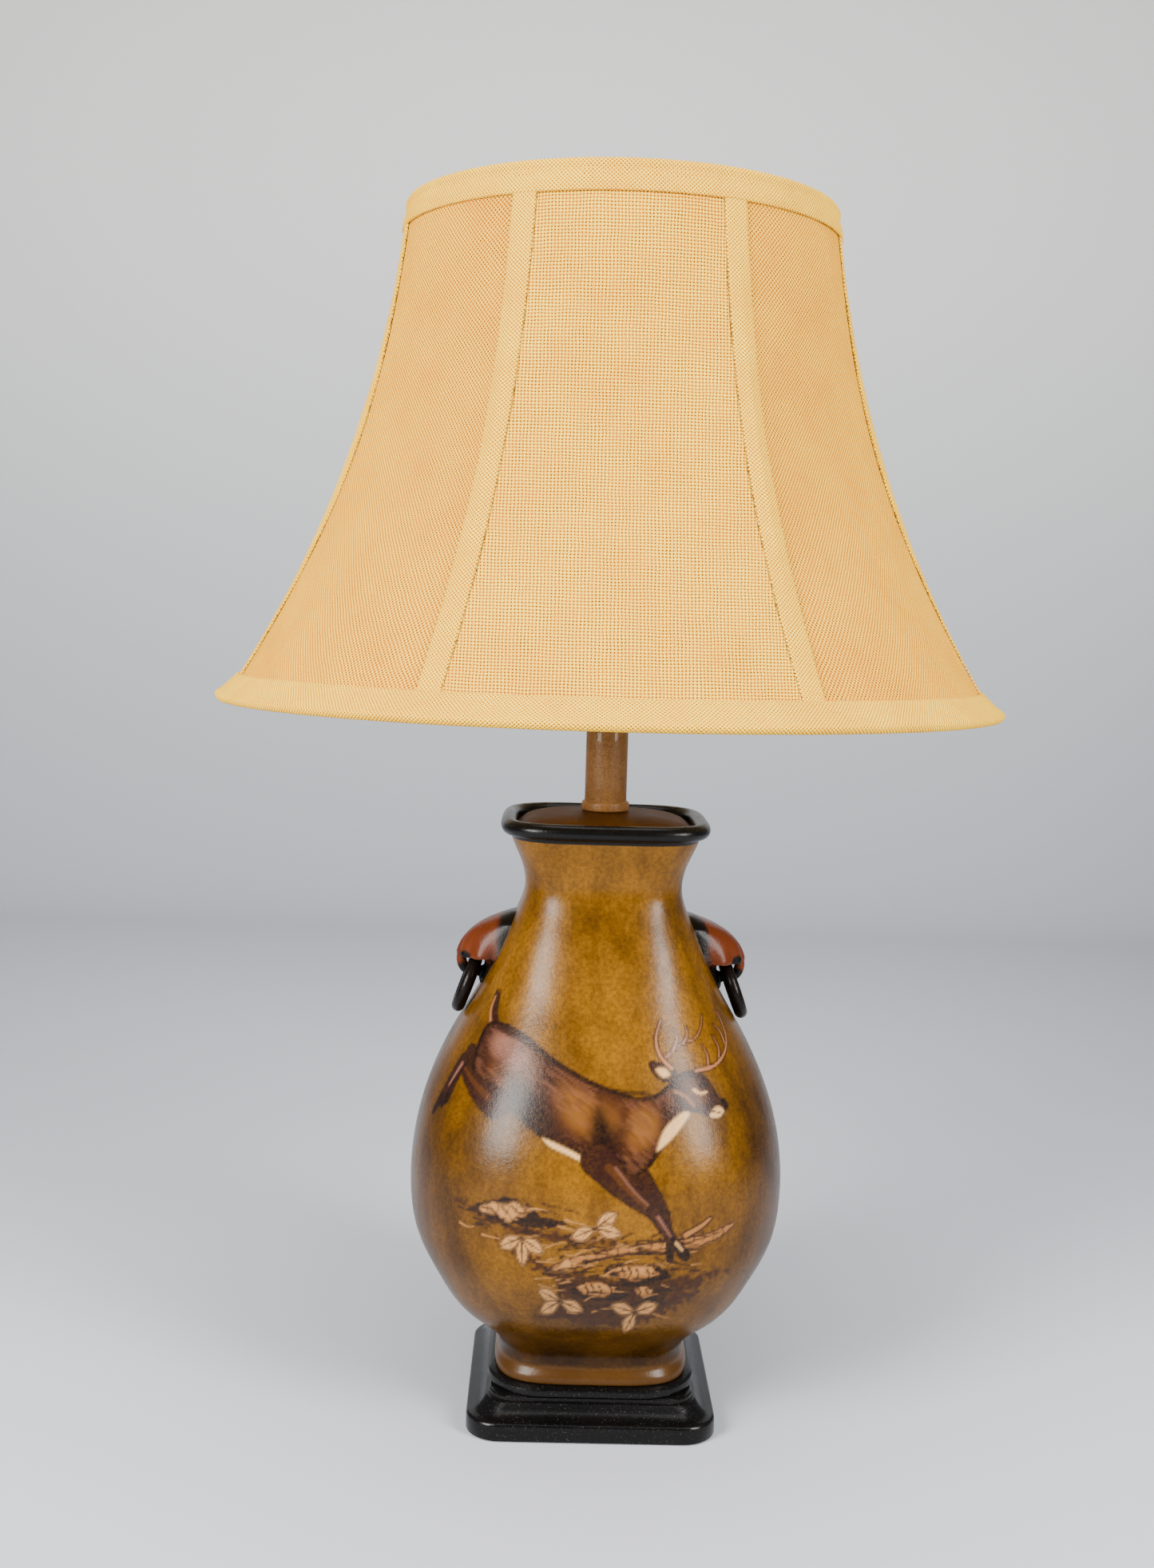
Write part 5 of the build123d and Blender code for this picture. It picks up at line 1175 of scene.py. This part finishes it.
# ---------------------------------------------------------------------------------------- handles
@dataclass
class Handle:
    """One fluted handle on the vase's side, and its loose ring."""

    side: int
    word: str
    root: float = 46.0
    top_half: float = 17.0
    foot_half: float = 26.0
    flutes: int = 7
    section: tuple[Place, ...] = (
        (46, 299.4), (53, 299.0), (58, 297.5), (68, 293.5), (77, 288), (83.5, 281), (86.9, 273.5),
        (86.0, 270.4), (81, 271.6), (76, 272.4), (71.6, 270.6), (70.0, 266), (71.2, 261), (73.2, 256.4),
        (71.6, 252.6), (66, 251.6), (58, 252.6), (52, 256))
    snout: tuple[Place, ...] = (
        (80, 276), (83.6, 271.5), (83.4, 265.5), (80.4, 261.6), (75, 260.4), (69, 263))
    pivot: Place = (75.0, 268.0)
    ring_radius: float = 15.0
    bar: float = 3.9
    lean: float = 20.2
    crown: float = 299.4
    drop: float = 48.0

    def wave(self, turns: Array) -> Array:
        """The flutes: 0 on each rib and 1 in the hollow between, by turn round the fan."""
        return 0.5 - 0.5 * np.cos(self.flutes * 2 * turns)

    def mask(self) -> Piece:
        """The fan: each section point is carried round a half oval, x = root + reach cos and y = half sin,
        with flutes cut into the lower part."""
        line = smooth_line(self.section, False, 4)
        turns = np.radians(np.linspace(-90, 90, 61))
        reach, height = line[:, 0] - self.root, line[:, 1]
        down = np.clip((self.crown - height) / self.drop, 0.0, 1.0)
        half = self.top_half + (self.foot_half - self.top_half) * down ** 0.8
        edge = np.clip(reach / 24.0, 0.0, 1.0) ** 0.5
        groove = 1 - 0.075 * ease(down, 0.25, 0.8)[:, None] * self.wave(turns)
        x = self.root + reach[:, None] * groove * np.cos(turns) ** 0.85
        y = (half * edge)[:, None] * groove * np.sin(turns)
        scallop = 2.0 * ease(down, 0.8, 1.0)[:, None] * self.wave(turns)
        points = spread(x * self.side, y, height[:, None] + scallop)
        return grid_object("mask", points, close_rows=True)

    def strap(self) -> Piece:
        """The snout that the ring hangs in: a round bar along its line."""
        line = smooth_line(self.snout, False, 5)
        along = np.gradient(line, axis=0)
        along /= np.linalg.norm(along, axis=1)[:, None]
        normal = np.stack([-along[:, 1], along[:, 0]], 1)
        turns = np.linspace(0, 2 * math.pi, 16, endpoint=False)
        swell = np.sin(np.linspace(0.02, math.pi - 0.02, len(line)))
        radius = 3.2 * np.sqrt(np.clip(swell, 0.05, 1.0)) ** 0.4
        flat = line[:, None] + (radius[:, None] * np.cos(turns))[..., None] * normal[:, None]
        points = spread(flat[..., 0] * self.side, 1.08 * radius[:, None] * np.sin(turns), flat[..., 1])
        return grid_object("strap", points, close_columns=True)

    @staticmethod
    def fuse(parts: Sequence[Piece], name: str) -> Piece:
        """Join closed parts into one skin by a fine voxel remesh, and smooth it."""
        work = bmesh.new()
        for part in parts:
            work.from_mesh(part.data)
            bpy.data.objects.remove(part)
        bmesh.ops.holes_fill(work, edges=[edge for edge in work.edges if edge.is_boundary], sides=0)
        bmesh.ops.recalc_face_normals(work, faces=work.faces)
        mesh = bpy.data.meshes.new(name)
        work.to_mesh(mesh)
        work.free()
        made = add_object(name, mesh)
        remesh = made.modifiers.new("skin", "REMESH")
        remesh.mode, remesh.voxel_size, remesh.use_smooth_shade = "VOXEL", 0.7 * MM, True
        soften = made.modifiers.new("soften", "SMOOTH")
        soften.factor, soften.iterations = 0.5, 6
        apply_modifiers(made)
        return made

    def build(self) -> None:
        """The handle and its ring."""
        made = self.fuse([self.mask(), self.strap()], f"handle_{self.word}_shell")
        places = np.empty(len(made.data.vertices) * 3, np.float32)
        made.data.vertices.foreach_get("co", places)
        x, y, z = places.reshape(-1, 3).T / MM
        x = np.abs(x)
        low = 1 - ease(z + 0.25 * (x - 70), 260, 276)
        root = 1 - ease(x - 0.35 * np.abs(y), 48, 66)
        dimple = np.exp(-((x - 81) ** 2 + (z - 272) ** 2) / 14.0)
        creases = 0.35 * (1 - ease(z, 262, 282)) * self.wave(np.arctan2(y, x - self.root))
        hollow = np.clip(np.maximum.reduce([low, root, dimple]) + creases, 0, 1)
        painted = made.data.attributes.new("hollow", "FLOAT", "POINT")
        painted.data.foreach_set("value", hollow.astype(np.float32))
        smooth(made, 60.0)
        hand_over(made, "base", "handle_glaze", HANDLE_GLAZE, f"handle_{self.word}")
        self.ring()

    def ring(self) -> None:
        """A ring whose bar is a circle carried round a circle, leaning out from its pivot."""
        lean = math.radians(self.lean)
        round_ring, round_bar = (np.linspace(0, 2 * math.pi, count, endpoint=False) for count in (96, 28))
        reach = self.ring_radius + self.bar * np.cos(round_bar)[None, :]
        across = reach * np.sin(round_ring)[:, None]
        down = self.ring_radius - reach * np.cos(round_ring)[:, None]
        out = np.broadcast_to(self.bar * np.sin(round_bar), across.shape)
        x = self.pivot[0] + down * math.sin(lean) + out * math.cos(lean)
        z = self.pivot[1] - down * math.cos(lean) + out * math.sin(lean)
        points = np.stack([self.side * x, across, z], -1)
        made = grid_object(f"pull_ring_{self.word}", points, close_rows=True, close_columns=True)
        hand_over(made, f"ring_{self.word}", "handle_glaze", RING_GLAZE, f"ring_{self.word}")


# ---------------------------------------------------------------------------------------- plinth
@dataclass
class Plinth:
    """The black lacquered plinth: a slab, a hollow, a narrow step and a seat for the vase."""

    stations: tuple[tuple[float, float, float], ...] = (
        (5.1, 5.1, 14.0), (25.0, 25.0, 14.0), (25.0, 25.0, 2.0), (69.1, 16.1, 2.0), (69.1, 16.1, 0.8),
        (72.2, 19.2, 0.8), (72.8, 19.8, 1.0), (73.0, 20.0, 1.6), (73.0, 20.0, 9.2), (72.7, 19.7, 10.4),
        (71.9, 18.9, 11.2), (70.8, 17.8, 11.5), (69.6, 16.8, 11.6), (67.8, 15.4, 12.3), (65.6, 14.2, 14.0),
        (63.4, 13.4, 16.4), (61.9, 13.2, 18.6), (61.2, 13.2, 19.2), (60.2, 13.2, 19.4), (59.8, 13.2, 19.8),
        (59.6, 13.4, 21.2), (59.0, 13.8, 21.9), (58.0, 15.0, 22.1), (57.6, 18.0, 22.2), (61.0, 32.4, 22.3),
        (61.6, 33.0, 23.0), (61.8, 33.2, 24.6), (61.2, 32.8, 26.6), (59.8, 31.6, 27.8), (58.2, 30.6, 28.0),
        (5.1, 5.1, 28.0))

    def rings(self) -> Array:
        """Rows of rounded squares: each corner is a quarter circle with the same points in every row."""
        count = 12
        quarters = [np.linspace(start, start + 90, count) for start in (0, 90, 180, 270)]
        turns = np.radians(np.concatenate(quarters))
        signs = np.repeat([[1, 1], [-1, 1], [-1, -1], [1, -1]], count, 0)
        half, corner, height = (np.asarray(part, float) for part in zip(*self.stations))
        arm = (half - corner)[:, None]
        x = signs[:, 0] * arm + corner[:, None] * np.cos(turns)
        y = signs[:, 1] * arm + corner[:, None] * np.sin(turns)
        return spread(x, y, height[:, None])

    def build(self) -> Piece:
        """The plinth."""
        made = grid_object("plinth_block", self.rings(), close_rows=True, close_columns=True, crease=32.0)
        return hand_over(made, "base", "black_lacquer", BLACK_LACQUER, "plinth")


# ---------------------------------------------------------------------------------------- neck to finial
class Turnings:
    """The turned pieces on the lamp's axis."""

    def build(self) -> None:
        """Collar, tube, bulb and finial."""
        collar = [(5.1, 360.1), *round_corner((12.6, 361.7), 1.6, -90, 0),
                  *round_corner((12.6, 364.4), 1.6, 0, 90), (12.5, 366.1), (12.5, 361.7), (5.1, 361.7)]
        hand_over(lathe("collar_ring", collar, 96), "base", "brown_enamel", BROWN_ENAMEL, "neck_collar")
        tube = [(11.1, 361.6), (12.4, 361.6), (12.5, 361.9), (12.5, 436.2), (12.3, 436.6), (11.1, 436.6)]
        hand_over(lathe("tube_sleeve", tube, 96, 50.0), "base", "brown_enamel", BROWN_ENAMEL, "neck_tube")
        hand_over(self.bulb(), "bulb", "frosted_glass", FROSTED_GLASS, "bulb_glass")
        hand_over(self.screw_base(), "bulb", "aluminium_shell", ALUMINIUM, "bulb_base")
        hand_over(self.finial(), "finial", "aged_brass", AGED_BRASS, "finial")

    def bulb(self) -> Piece:
        """Glass envelope: a neck that swells by a half cosine into a globe, outside and inside the wall."""
        def line(inset: float) -> list[Place]:
            """Outline from the axis at the neck to the crown."""
            swell = np.linspace(0.0, 1.0, 16)
            neck, globe = 12.4 - inset, 30.0 - inset
            radius = neck + (globe - neck) * (0.5 - 0.5 * np.cos(math.pi * swell)) ** 0.85
            return [(0.0, 501.0 + inset), (neck, 501.0 + inset), *zip(radius, 511.9 + swell * 51.3),
                    *round_corner((0.0, 563.2), globe, 6, 90, 12)[:-1], (0.0, 563.2 + globe)]

        return lathe("bulb_envelope", [*line(0.0), *reversed(line(0.8))], 64, 50.0, closed=False)

    def screw_base(self) -> Piece:
        """The bulb's threaded shell: a radius of 12.58 mm and a wave along a helix."""
        pitch, low, high, core = 3.6, 485.4, 509.9, 4.6
        heights = np.linspace(low, high, 62)
        turns = np.linspace(0, 2 * math.pi, 48, endpoint=False)
        fade = ease(heights, 488.0, 489.5) * (1 - ease(heights, 504.5, 506.0))
        wave = np.cos(2 * math.pi * heights[:, None] / pitch - turns[None, :])
        outer = 12.58 + 0.4 * fade[:, None] * wave
        hole = np.full((1, len(turns)), core)
        radius = np.concatenate([hole, outer, outer[::-1] - 0.3, hole])
        z = np.concatenate([[low], heights, heights[::-1] + 0.01, [485.8]])
        points = spread(radius * np.cos(turns), radius * np.sin(turns), z[:, None])
        return grid_object("bulb_screw_shell", points, close_rows=True, close_columns=True)

    def finial(self) -> Piece:
        """A turned knob: base disc, cove, ball and tip, with the threaded hole below."""
        outside = [(3.15, 687.2), (6.2, 687.2), (6.4, 687.6), (6.4, 689.4), (5.8, 690.2), (4.4, 691.2),
                   (3.9, 692.0), (4.4, 692.8), *round_corner((0.0, 700.6), 8.0, -56, 58, 12), (3.6, 708.6),
                   (3.0, 710.0),
                   (3.3, 711.6), (3.6, 713.4), (3.0, 715.6), (1.6, 716.9), (0.0, 717.2)]
        return lathe("finial_knob", [*outside, (0.0, 701.0), (3.15, 700.6)], 64, 34.0)


# ---------------------------------------------------------------------------------------- shade
@dataclass
class Shade:
    """The bell shade: seven burlap panels on a wire frame, taped seams, rolled trims and a pale lining."""

    panels: int = 7
    top: Place = (122.6, 706.7)
    bottom: Place = (223.2, 422.7)
    rib_arc: float = 639.0
    flatness: float = 0.7
    top_trim: float = 16.5
    bottom_trim: float = 15.0
    cloth: float = 1.0
    tape_half: float = 7.0

    def __post_init__(self) -> None:
        """Find the centre of the ribs' circle through both edges."""
        run, rise = self.bottom[0] - self.top[0], self.top[1] - self.bottom[1]
        lean, drop = math.atan2(run, rise), math.sqrt(self.rib_arc ** 2 - (run * run + rise * rise) / 4)
        self.arc_x = (self.top[0] + self.bottom[0]) / 2 + drop * math.cos(lean)
        self.arc_z = (self.top[1] + self.bottom[1]) / 2 + drop * math.sin(lean)
        self.half_panel = math.pi / self.panels

    def rib_radius(self, height: Array, inset: float = 0.0) -> Array:
        """Distance from the axis to the cloth at a rib: the ribs' circle, less an inset square to it."""
        return self.arc_x - np.sqrt((self.rib_arc + inset) ** 2 - (height - self.arc_z) ** 2)

    def roundness(self, height: Array) -> Array:
        """1 at the rings and less half way up, where the panels are pulled flatter."""
        low, high = self.bottom[1] + self.bottom_trim, self.top[1] - self.top_trim
        return 1.0 - self.flatness * np.sin(math.pi * np.clip((height - low) / (high - low), 0.0, 1.0)) ** 2

    def panel_arc(self, height: Array, inset: float = 0.0) -> tuple[Array, Array, Array]:
        """Centre distance, radius and half angle of a panel's arc at each height."""
        corner = self.rib_radius(height, inset)
        chord = corner * math.sin(self.half_panel)
        bow = corner * self.roundness(height) * (1 - math.cos(self.half_panel))
        radius = (chord ** 2 + bow ** 2) / (2 * bow)
        return corner * math.cos(self.half_panel) + bow - radius, radius, np.arctan2(chord, radius - bow)

    def length_along(self, height: Array) -> Array:
        """Length of cloth from the bottom edge up to each height, along a rib."""
        return self.rib_arc * (np.arcsin((height - self.arc_z) / self.rib_arc)
                               - math.asin((self.bottom[1] - self.arc_z) / self.rib_arc))

    @staticmethod
    def turned(points: Array, turn: float) -> Array:
        """Points turned about the lamp's axis by turn radians."""
        c, s = math.cos(turn), math.sin(turn)
        return np.stack([points[..., 0] * c - points[..., 1] * s, points[..., 0] * s + points[..., 1] * c,
                         points[..., 2]], -1)

    def panel_turn(self, index: int) -> float:
        """Direction of a panel's middle in radians; the first faces the front."""
        return -math.pi / 2 + 2 * self.half_panel * index

    def panel(self, index: int) -> Piece:
        """One panel: arcs from rib to rib at each height, with a slight slack in random waves."""
        height = np.linspace(self.bottom[1] + 1.6, self.top[1] - 1.6, 84)
        share = np.linspace(-1.0, 1.0, 41)
        centre, radius, half = self.panel_arc(height)
        turn = half[:, None] * share * (1 - 0.15 / self.rib_radius(height))[:, None]
        slack = self.slack(height, share, index)
        reach = radius[:, None] + slack
        points = spread(centre[:, None] + reach * np.cos(turn), reach * np.sin(turn), height[:, None])
        uv = spread(radius[:, None] * turn, self.length_along(height)[:, None])
        made = grid_object(f"burlap_panel_{index + 1}", self.turned(points, self.panel_turn(index)), uv=uv)
        self.thicken(made, self.cloth)
        # The bias-cut panels wear the darker copy of the burlap: painted shade.
        finish = BURLAP_STRAIGHT if index in (0, 2, 5) else SHADED_BURLAP_BIAS
        hand_over(made, "shade", "burlap", finish, f"shade_panel_{index + 1}")
        return made

    def slack(self, height: Array, share: Array, seed: int) -> Array:
        """Gentle unevenness of stretched cloth: up to 0.5 mm in the panel's middle, none at its edges."""
        across, up = np.meshgrid(share, height)
        places = np.stack([across.ravel() * 60, up.ravel()], 1)
        waves = lattice_noise(places, 42.0, 20 + seed).reshape(across.shape) - 0.5
        hold = (1 - across ** 2) * np.sin(math.pi * (up - height[0]) / (height[-1] - height[0]))
        return 0.9 * waves * hold

    @staticmethod
    def thicken(piece: Piece, thickness: float) -> None:
        """Give an outward-facing sheet its thickness inwards."""
        solid = piece.modifiers.new("cloth", "SOLIDIFY")
        solid.thickness, solid.offset = thickness * MM, -1.0

    def tape(self, index: int) -> Piece:
        """One seam tape: it follows both panels beside its rib, standing proud by its folded thickness.

        A place s across the tape lies on the panel at the angle s / radius from the rib, and the tape rises
        by the cube root of 1 - |s / half|^6, so its folded edges are round.
        """
        height = np.linspace(self.bottom[1] + self.bottom_trim - 4.0, self.top[1] - self.top_trim + 4.0, 96)
        section = np.linspace(-1.0, 1.0, 17)
        centre, radius, half = self.panel_arc(height)
        wander = 0.22 * (lattice_noise(spread(height, np.array(index * 9.0)), 11.0, 31) - 0.5)[:, None]
        s = section[None, :] * (self.tape_half + wander * 2)
        turn = half[:, None] - np.abs(s) / radius[:, None]
        proud = 0.35 + 1.0 * (1 - np.abs(section[None, :]) ** 6) ** (1 / 3) + wander
        blend = ease(np.abs(s), 0.0, 2.4)
        lean = blend * turn + (1 - blend) * self.half_panel
        x = centre[:, None] + radius[:, None] * np.cos(turn) + proud * np.cos(lean)
        y = radius[:, None] * np.sin(turn) + proud * np.sin(lean)
        along = x * math.cos(self.half_panel) + y * math.sin(self.half_panel)
        across = x * math.sin(self.half_panel) - y * math.cos(self.half_panel)
        outer = spread(along, np.where(section < 0, -across, across), height[:, None])
        inner = outer.copy()
        inner[..., 0] -= 0.95 * (1 - np.abs(section) ** 6) ** (1 / 3) + 0.05
        points = np.concatenate([outer, inner[:, ::-1]], 1)
        uv = spread(np.concatenate([s, s[:, ::-1]], 1), self.length_along(height)[:, None])
        uv = np.concatenate([uv, uv[:, :1]], 1)
        turn_to = self.panel_turn(index) + self.half_panel
        made = grid_object(f"seam_tape_{index + 1}", self.turned(points, turn_to), close_columns=True, uv=uv)
        self.cap_ends(made)
        hand_over(made, "shade", "burlap_trim", BURLAP_TAPE, "seam_tapes")
        return made

    @staticmethod
    def cap_ends(piece: Piece) -> None:
        """Close the open ends of a tape."""
        work = bmesh.new()
        work.from_mesh(piece.data)
        bmesh.ops.holes_fill(work, edges=[edge for edge in work.edges if edge.is_boundary], sides=0)
        work.to_mesh(piece.data)
        work.free()

    def ring_band(self, name: str, section: Sequence[Place], waves: float, seed: int) -> Piece:
        """A trim: a closed section of (radius, height) carried round the axis, with waves in its radius."""
        line = smooth_line(section, True, 3)
        count = 360
        turns = np.linspace(0, 2 * math.pi, count, endpoint=False)
        radius, height = line[:, :1], line[:, 1:]
        ripple = lattice_noise(spread(np.tile(turns * LATTICE / (2 * math.pi), len(line)),
                                      np.repeat(np.arange(len(line)) / 9.0, count)), 1.0, seed)
        radius = radius + waves * (ripple.reshape(len(line), count) - 0.5)
        points = spread(radius * np.cos(turns), radius * np.sin(turns), height)
        reach = np.concatenate([[0], np.cumsum(np.hypot(*np.diff(line, axis=0, append=line[:1]).T))])
        around = np.append(turns, 2 * math.pi) * float(line[:, 0].mean())
        uv = spread(around[None, :], reach[:, None])
        return grid_object(name, points, close_rows=True, close_columns=True, uv=uv, crease=60.0)

    def trims(self) -> None:
        """The flat band at the top and the fat rolled band at the bottom."""
        top_r, top_z = self.top
        low = top_z - self.top_trim
        low_r = float(self.rib_radius(low))
        section = ((low_r + 0.35, low + 0.3), (low_r + 1.5, low), (low_r + 1.7, low + 1.2),
                   (low_r + 1.3, low + 5),
                   (top_r + 1.6, top_z - 6), (top_r + 1.9, top_z - 2.4), (top_r + 0.9, top_z - 0.3),
                   (top_r - 1.5, top_z), (top_r - 4.2, top_z - 0.4), (top_r - 4.9, top_z - 2.0),
                   (top_r - 4.7, top_z - 3.0),
                   (top_r - 3.7, top_z - 2.6), (top_r - 1.5, top_z - 1.4), (top_r + 0.35, top_z - 1.8),
                   (low_r + 0.4, low + 7.0))
        band = self.ring_band("top_band", section, 0.35, 41)
        hand_over(band, "shade", "burlap_trim", BURLAP_TRIM, "top_trim")
        bottom_r, bottom_z = self.bottom
        high = bottom_z + self.bottom_trim
        high_r, middle_r = float(self.rib_radius(high)), float(self.rib_radius(bottom_z + 7.5))
        section = ((high_r + 0.4, high - 0.4), (high_r + 2.4, high + 0.1), (high_r + 4.0, high - 1.4),
                   (middle_r + 4.9, bottom_z + 8),
                   *((bottom_r + out, bottom_z + up) for out, up in (
                       (5.2, 4), (4.6, 1.0), (2.4, 0.0), (-1.5, 0.1), (-5.0, 0.8), (-8.6, 5), (-11.4, 9.6),
                       (-10.6, 9.8), (-7.6, 5.6), (-4.4, 2.0), (-0.4, 1.3), (0.3, 3.0))),
                   (middle_r + 0.4, bottom_z + 7.5))
        band = self.ring_band("bottom_band", section, 0.7, 43)
        hand_over(band, "shade", "burlap_trim", BURLAP_TRIM, "bottom_trim")

    def liner(self) -> Piece:
        """The lining: the panels' arcs again, a little further in, all round in one skin."""
        height = np.linspace(428.6, 700.4, 40)
        share = np.linspace(-1.0, 1.0, 15)[:-1]
        centre, radius, half = self.panel_arc(height, 4.0)
        turn = half[:, None] * share
        facet = spread(centre[:, None] + radius[:, None] * np.cos(turn), radius[:, None] * np.sin(turn),
                       height[:, None])
        facets = [self.turned(facet, self.panel_turn(index)) for index in range(self.panels)]
        points = np.concatenate(facets, 1)
        lengths = self.length_along(height)
        mean_radius = 170
        around = np.arange(points.shape[1] + 1) * 2 * math.pi * mean_radius / points.shape[1]
        uv = spread(around[None, :], lengths[:, None])
        made = grid_object("lining", points, close_columns=True, uv=uv, crease=60.0)
        self.thicken(made, 0.5)
        hand_over(made, "shade", "liner_cloth", LINER_CLOTH, "shade_liner")
        return made

    def build(self) -> None:
        """Panels, tapes, trims and lining."""
        for index in range(self.panels):
            self.panel(index)
        for index in range(self.panels):
            self.tape(index)
        self.trims()
        self.liner()


# ---------------------------------------------------------------------------------------- carried-over pieces
CARRIED = {
    FELT: ("felt_pad",),
    BLACK_PLASTIC: ("cord_bushing", "switch_knob", "socket_body"),
    ZINC_STEEL: ("base_washer", "base_lock_washer", "base_nut", "threaded_rod", "saddle_nut",
                 "socket_set_screw"),
    BLACK_ENAMEL: ("neck_top_washer",),
    AGED_BRASS: ("harp_saddle", "socket_cap", "socket_shell", "terminal_screws", "centre_contact",
                 "socket_screw_shell", "switch_shaft", "harp_wire", "harp_top_plate", "harp_stud",
                 "harp_sleeve_left", "harp_sleeve_right"),
    FIBRE_BOARD: ("socket_liner",),
    ALUMINIUM: ("bulb_contact",),
    CLEAR_GLASS: ("bulb_stem",),
    FILAMENT: ("bulb_filament",),
    WHITE_WIRE: ("shade_spider", "shade_top_ring", "shade_bottom_ring", "shade_ribs"),
}


def dress_carried() -> None:
    """Give each CAD node that stays its own finish."""
    for finish, names in CARRIED.items():
        for name in names:
            finish.dress(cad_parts[name])
            LOG.info("%s: carried over as %s", name, finish.name)


# ---------------------------------------------------------------------------------------- studio
@dataclass
class Studio:
    """A pale sweep, soft lights and the camera in front of the lamp, a little above its middle."""

    camera_at: tuple[float, float, float] = (-33.1, -1008.3, 477.9)
    turn: float = 0.9
    pitch: float = 5.81
    roll: float = -1.6
    lens: float = 39.0

    def build(self) -> None:
        """Sweep, world, lights and camera."""
        self.sweep()
        self.world()
        self.light("key_left", (-1150, -1150, 950), (700, 1100), 94.0, (1.0, 0.97, 0.93))
        self.light("key_right", (1150, -1000, 950), (500, 1100), 62.0, (1.0, 0.98, 0.95))
        self.light("overhead", (0, -200, 1900), (1600, 1600), 34.0, (1.0, 1.0, 1.0))
        self.camera()

    def sweep(self) -> None:
        """Floor and wall in one sheet that bends up behind the lamp."""
        bend = [(1500 + 600 * math.sin(t), 600 - 600 * math.cos(t)) for t in np.linspace(0, math.pi / 2, 24)]
        line = np.array([(-2600.0, 0.0), (-600.0, 0.0), (600.0, 0.0), *bend, (2100.0, 3200.0)])
        across = np.linspace(-1300.0, 1300.0, 9)
        made = grid_object("studio_sweep", spread(across, line[:, :1], line[:, 1:]))
        Backdrop("sweep_paper").dress(made)

    def world(self) -> None:
        """Even pale light from all round."""
        world = bpy.data.worlds.new("studio_air")
        world.use_nodes = True
        colour, strength = world.node_tree.nodes["Background"].inputs[:2]
        colour.default_value, strength.default_value = (0.80, 0.84, 0.90, 1.0), 0.27
        bpy.context.scene.world = world

    def light(self, name: str, at: tuple[float, float, float], size: Place, power: float,
              colour: Colour) -> None:
        """One soft box, turned to face the lamp's middle."""
        data = bpy.data.lights.new(name, "AREA")
        data.shape, data.size, data.size_y = "RECTANGLE", size[0] * MM, size[1] * MM
        data.energy, data.color = power, colour
        made = add_object(name, data)
        place = np.array(at) * MM
        back = place - np.array([0, 0, 0.35])
        back /= np.linalg.norm(back)
        right = np.cross([0.0, 0.0, 1.0] if abs(back[2]) < 0.95 else [0.0, 1.0, 0.0], back)
        right /= np.linalg.norm(right)
        up = np.cross(back, right)
        self.aim(made, np.stack([right, up, back], 1), place)

    @staticmethod
    def aim(piece: Piece, axes: Array, place: Array) -> None:
        """Set a piece at a place with its own axes as the columns of axes."""
        piece.matrix_world = Matrix([[*row, shift] for row, shift in zip(axes, place)] + [[0, 0, 0, 1]])

    def camera(self) -> None:
        """The camera: pitched down, rolled a little and turned with the lamp's own small turn."""
        data = bpy.data.cameras.new("lamp_camera")
        data.lens, data.sensor_width, data.sensor_fit = self.lens, 36.0, "AUTO"
        data.clip_start, data.clip_end = 0.05, 50.0
        made = add_object("lamp_camera", data)
        pitch, roll, turn = math.radians(self.pitch), math.radians(self.roll), math.radians(self.turn)
        ahead = np.array([0.0, math.cos(pitch), -math.sin(pitch)])
        level, above = np.array([1.0, 0.0, 0.0]), np.array([0.0, math.sin(pitch), math.cos(pitch)])
        right = level * math.cos(roll) - above * math.sin(roll)
        up = level * math.sin(roll) + above * math.cos(roll)
        spin = np.array([[math.cos(turn), math.sin(turn), 0], [-math.sin(turn), math.cos(turn), 0],
                         [0, 0, 1]])
        axes = spin @ np.stack([right, up, -ahead], 1)
        self.aim(made, axes, np.array(self.camera_at) * MM)
        bpy.context.scene.camera = made


def main() -> None:
    """Build the lamp from the table up, then the studio round it."""
    logging.basicConfig(level=logging.INFO, format="%(name)s %(message)s")
    Plinth().build()
    Vase().build()
    Cap().build()
    for side, word in ((-1, "left"), (1, "right")):
        Handle(side, word).build()
    Turnings().build()
    Shade().build()
    dress_carried()
    Studio().build()


if __name__ == "__main__":
    main()
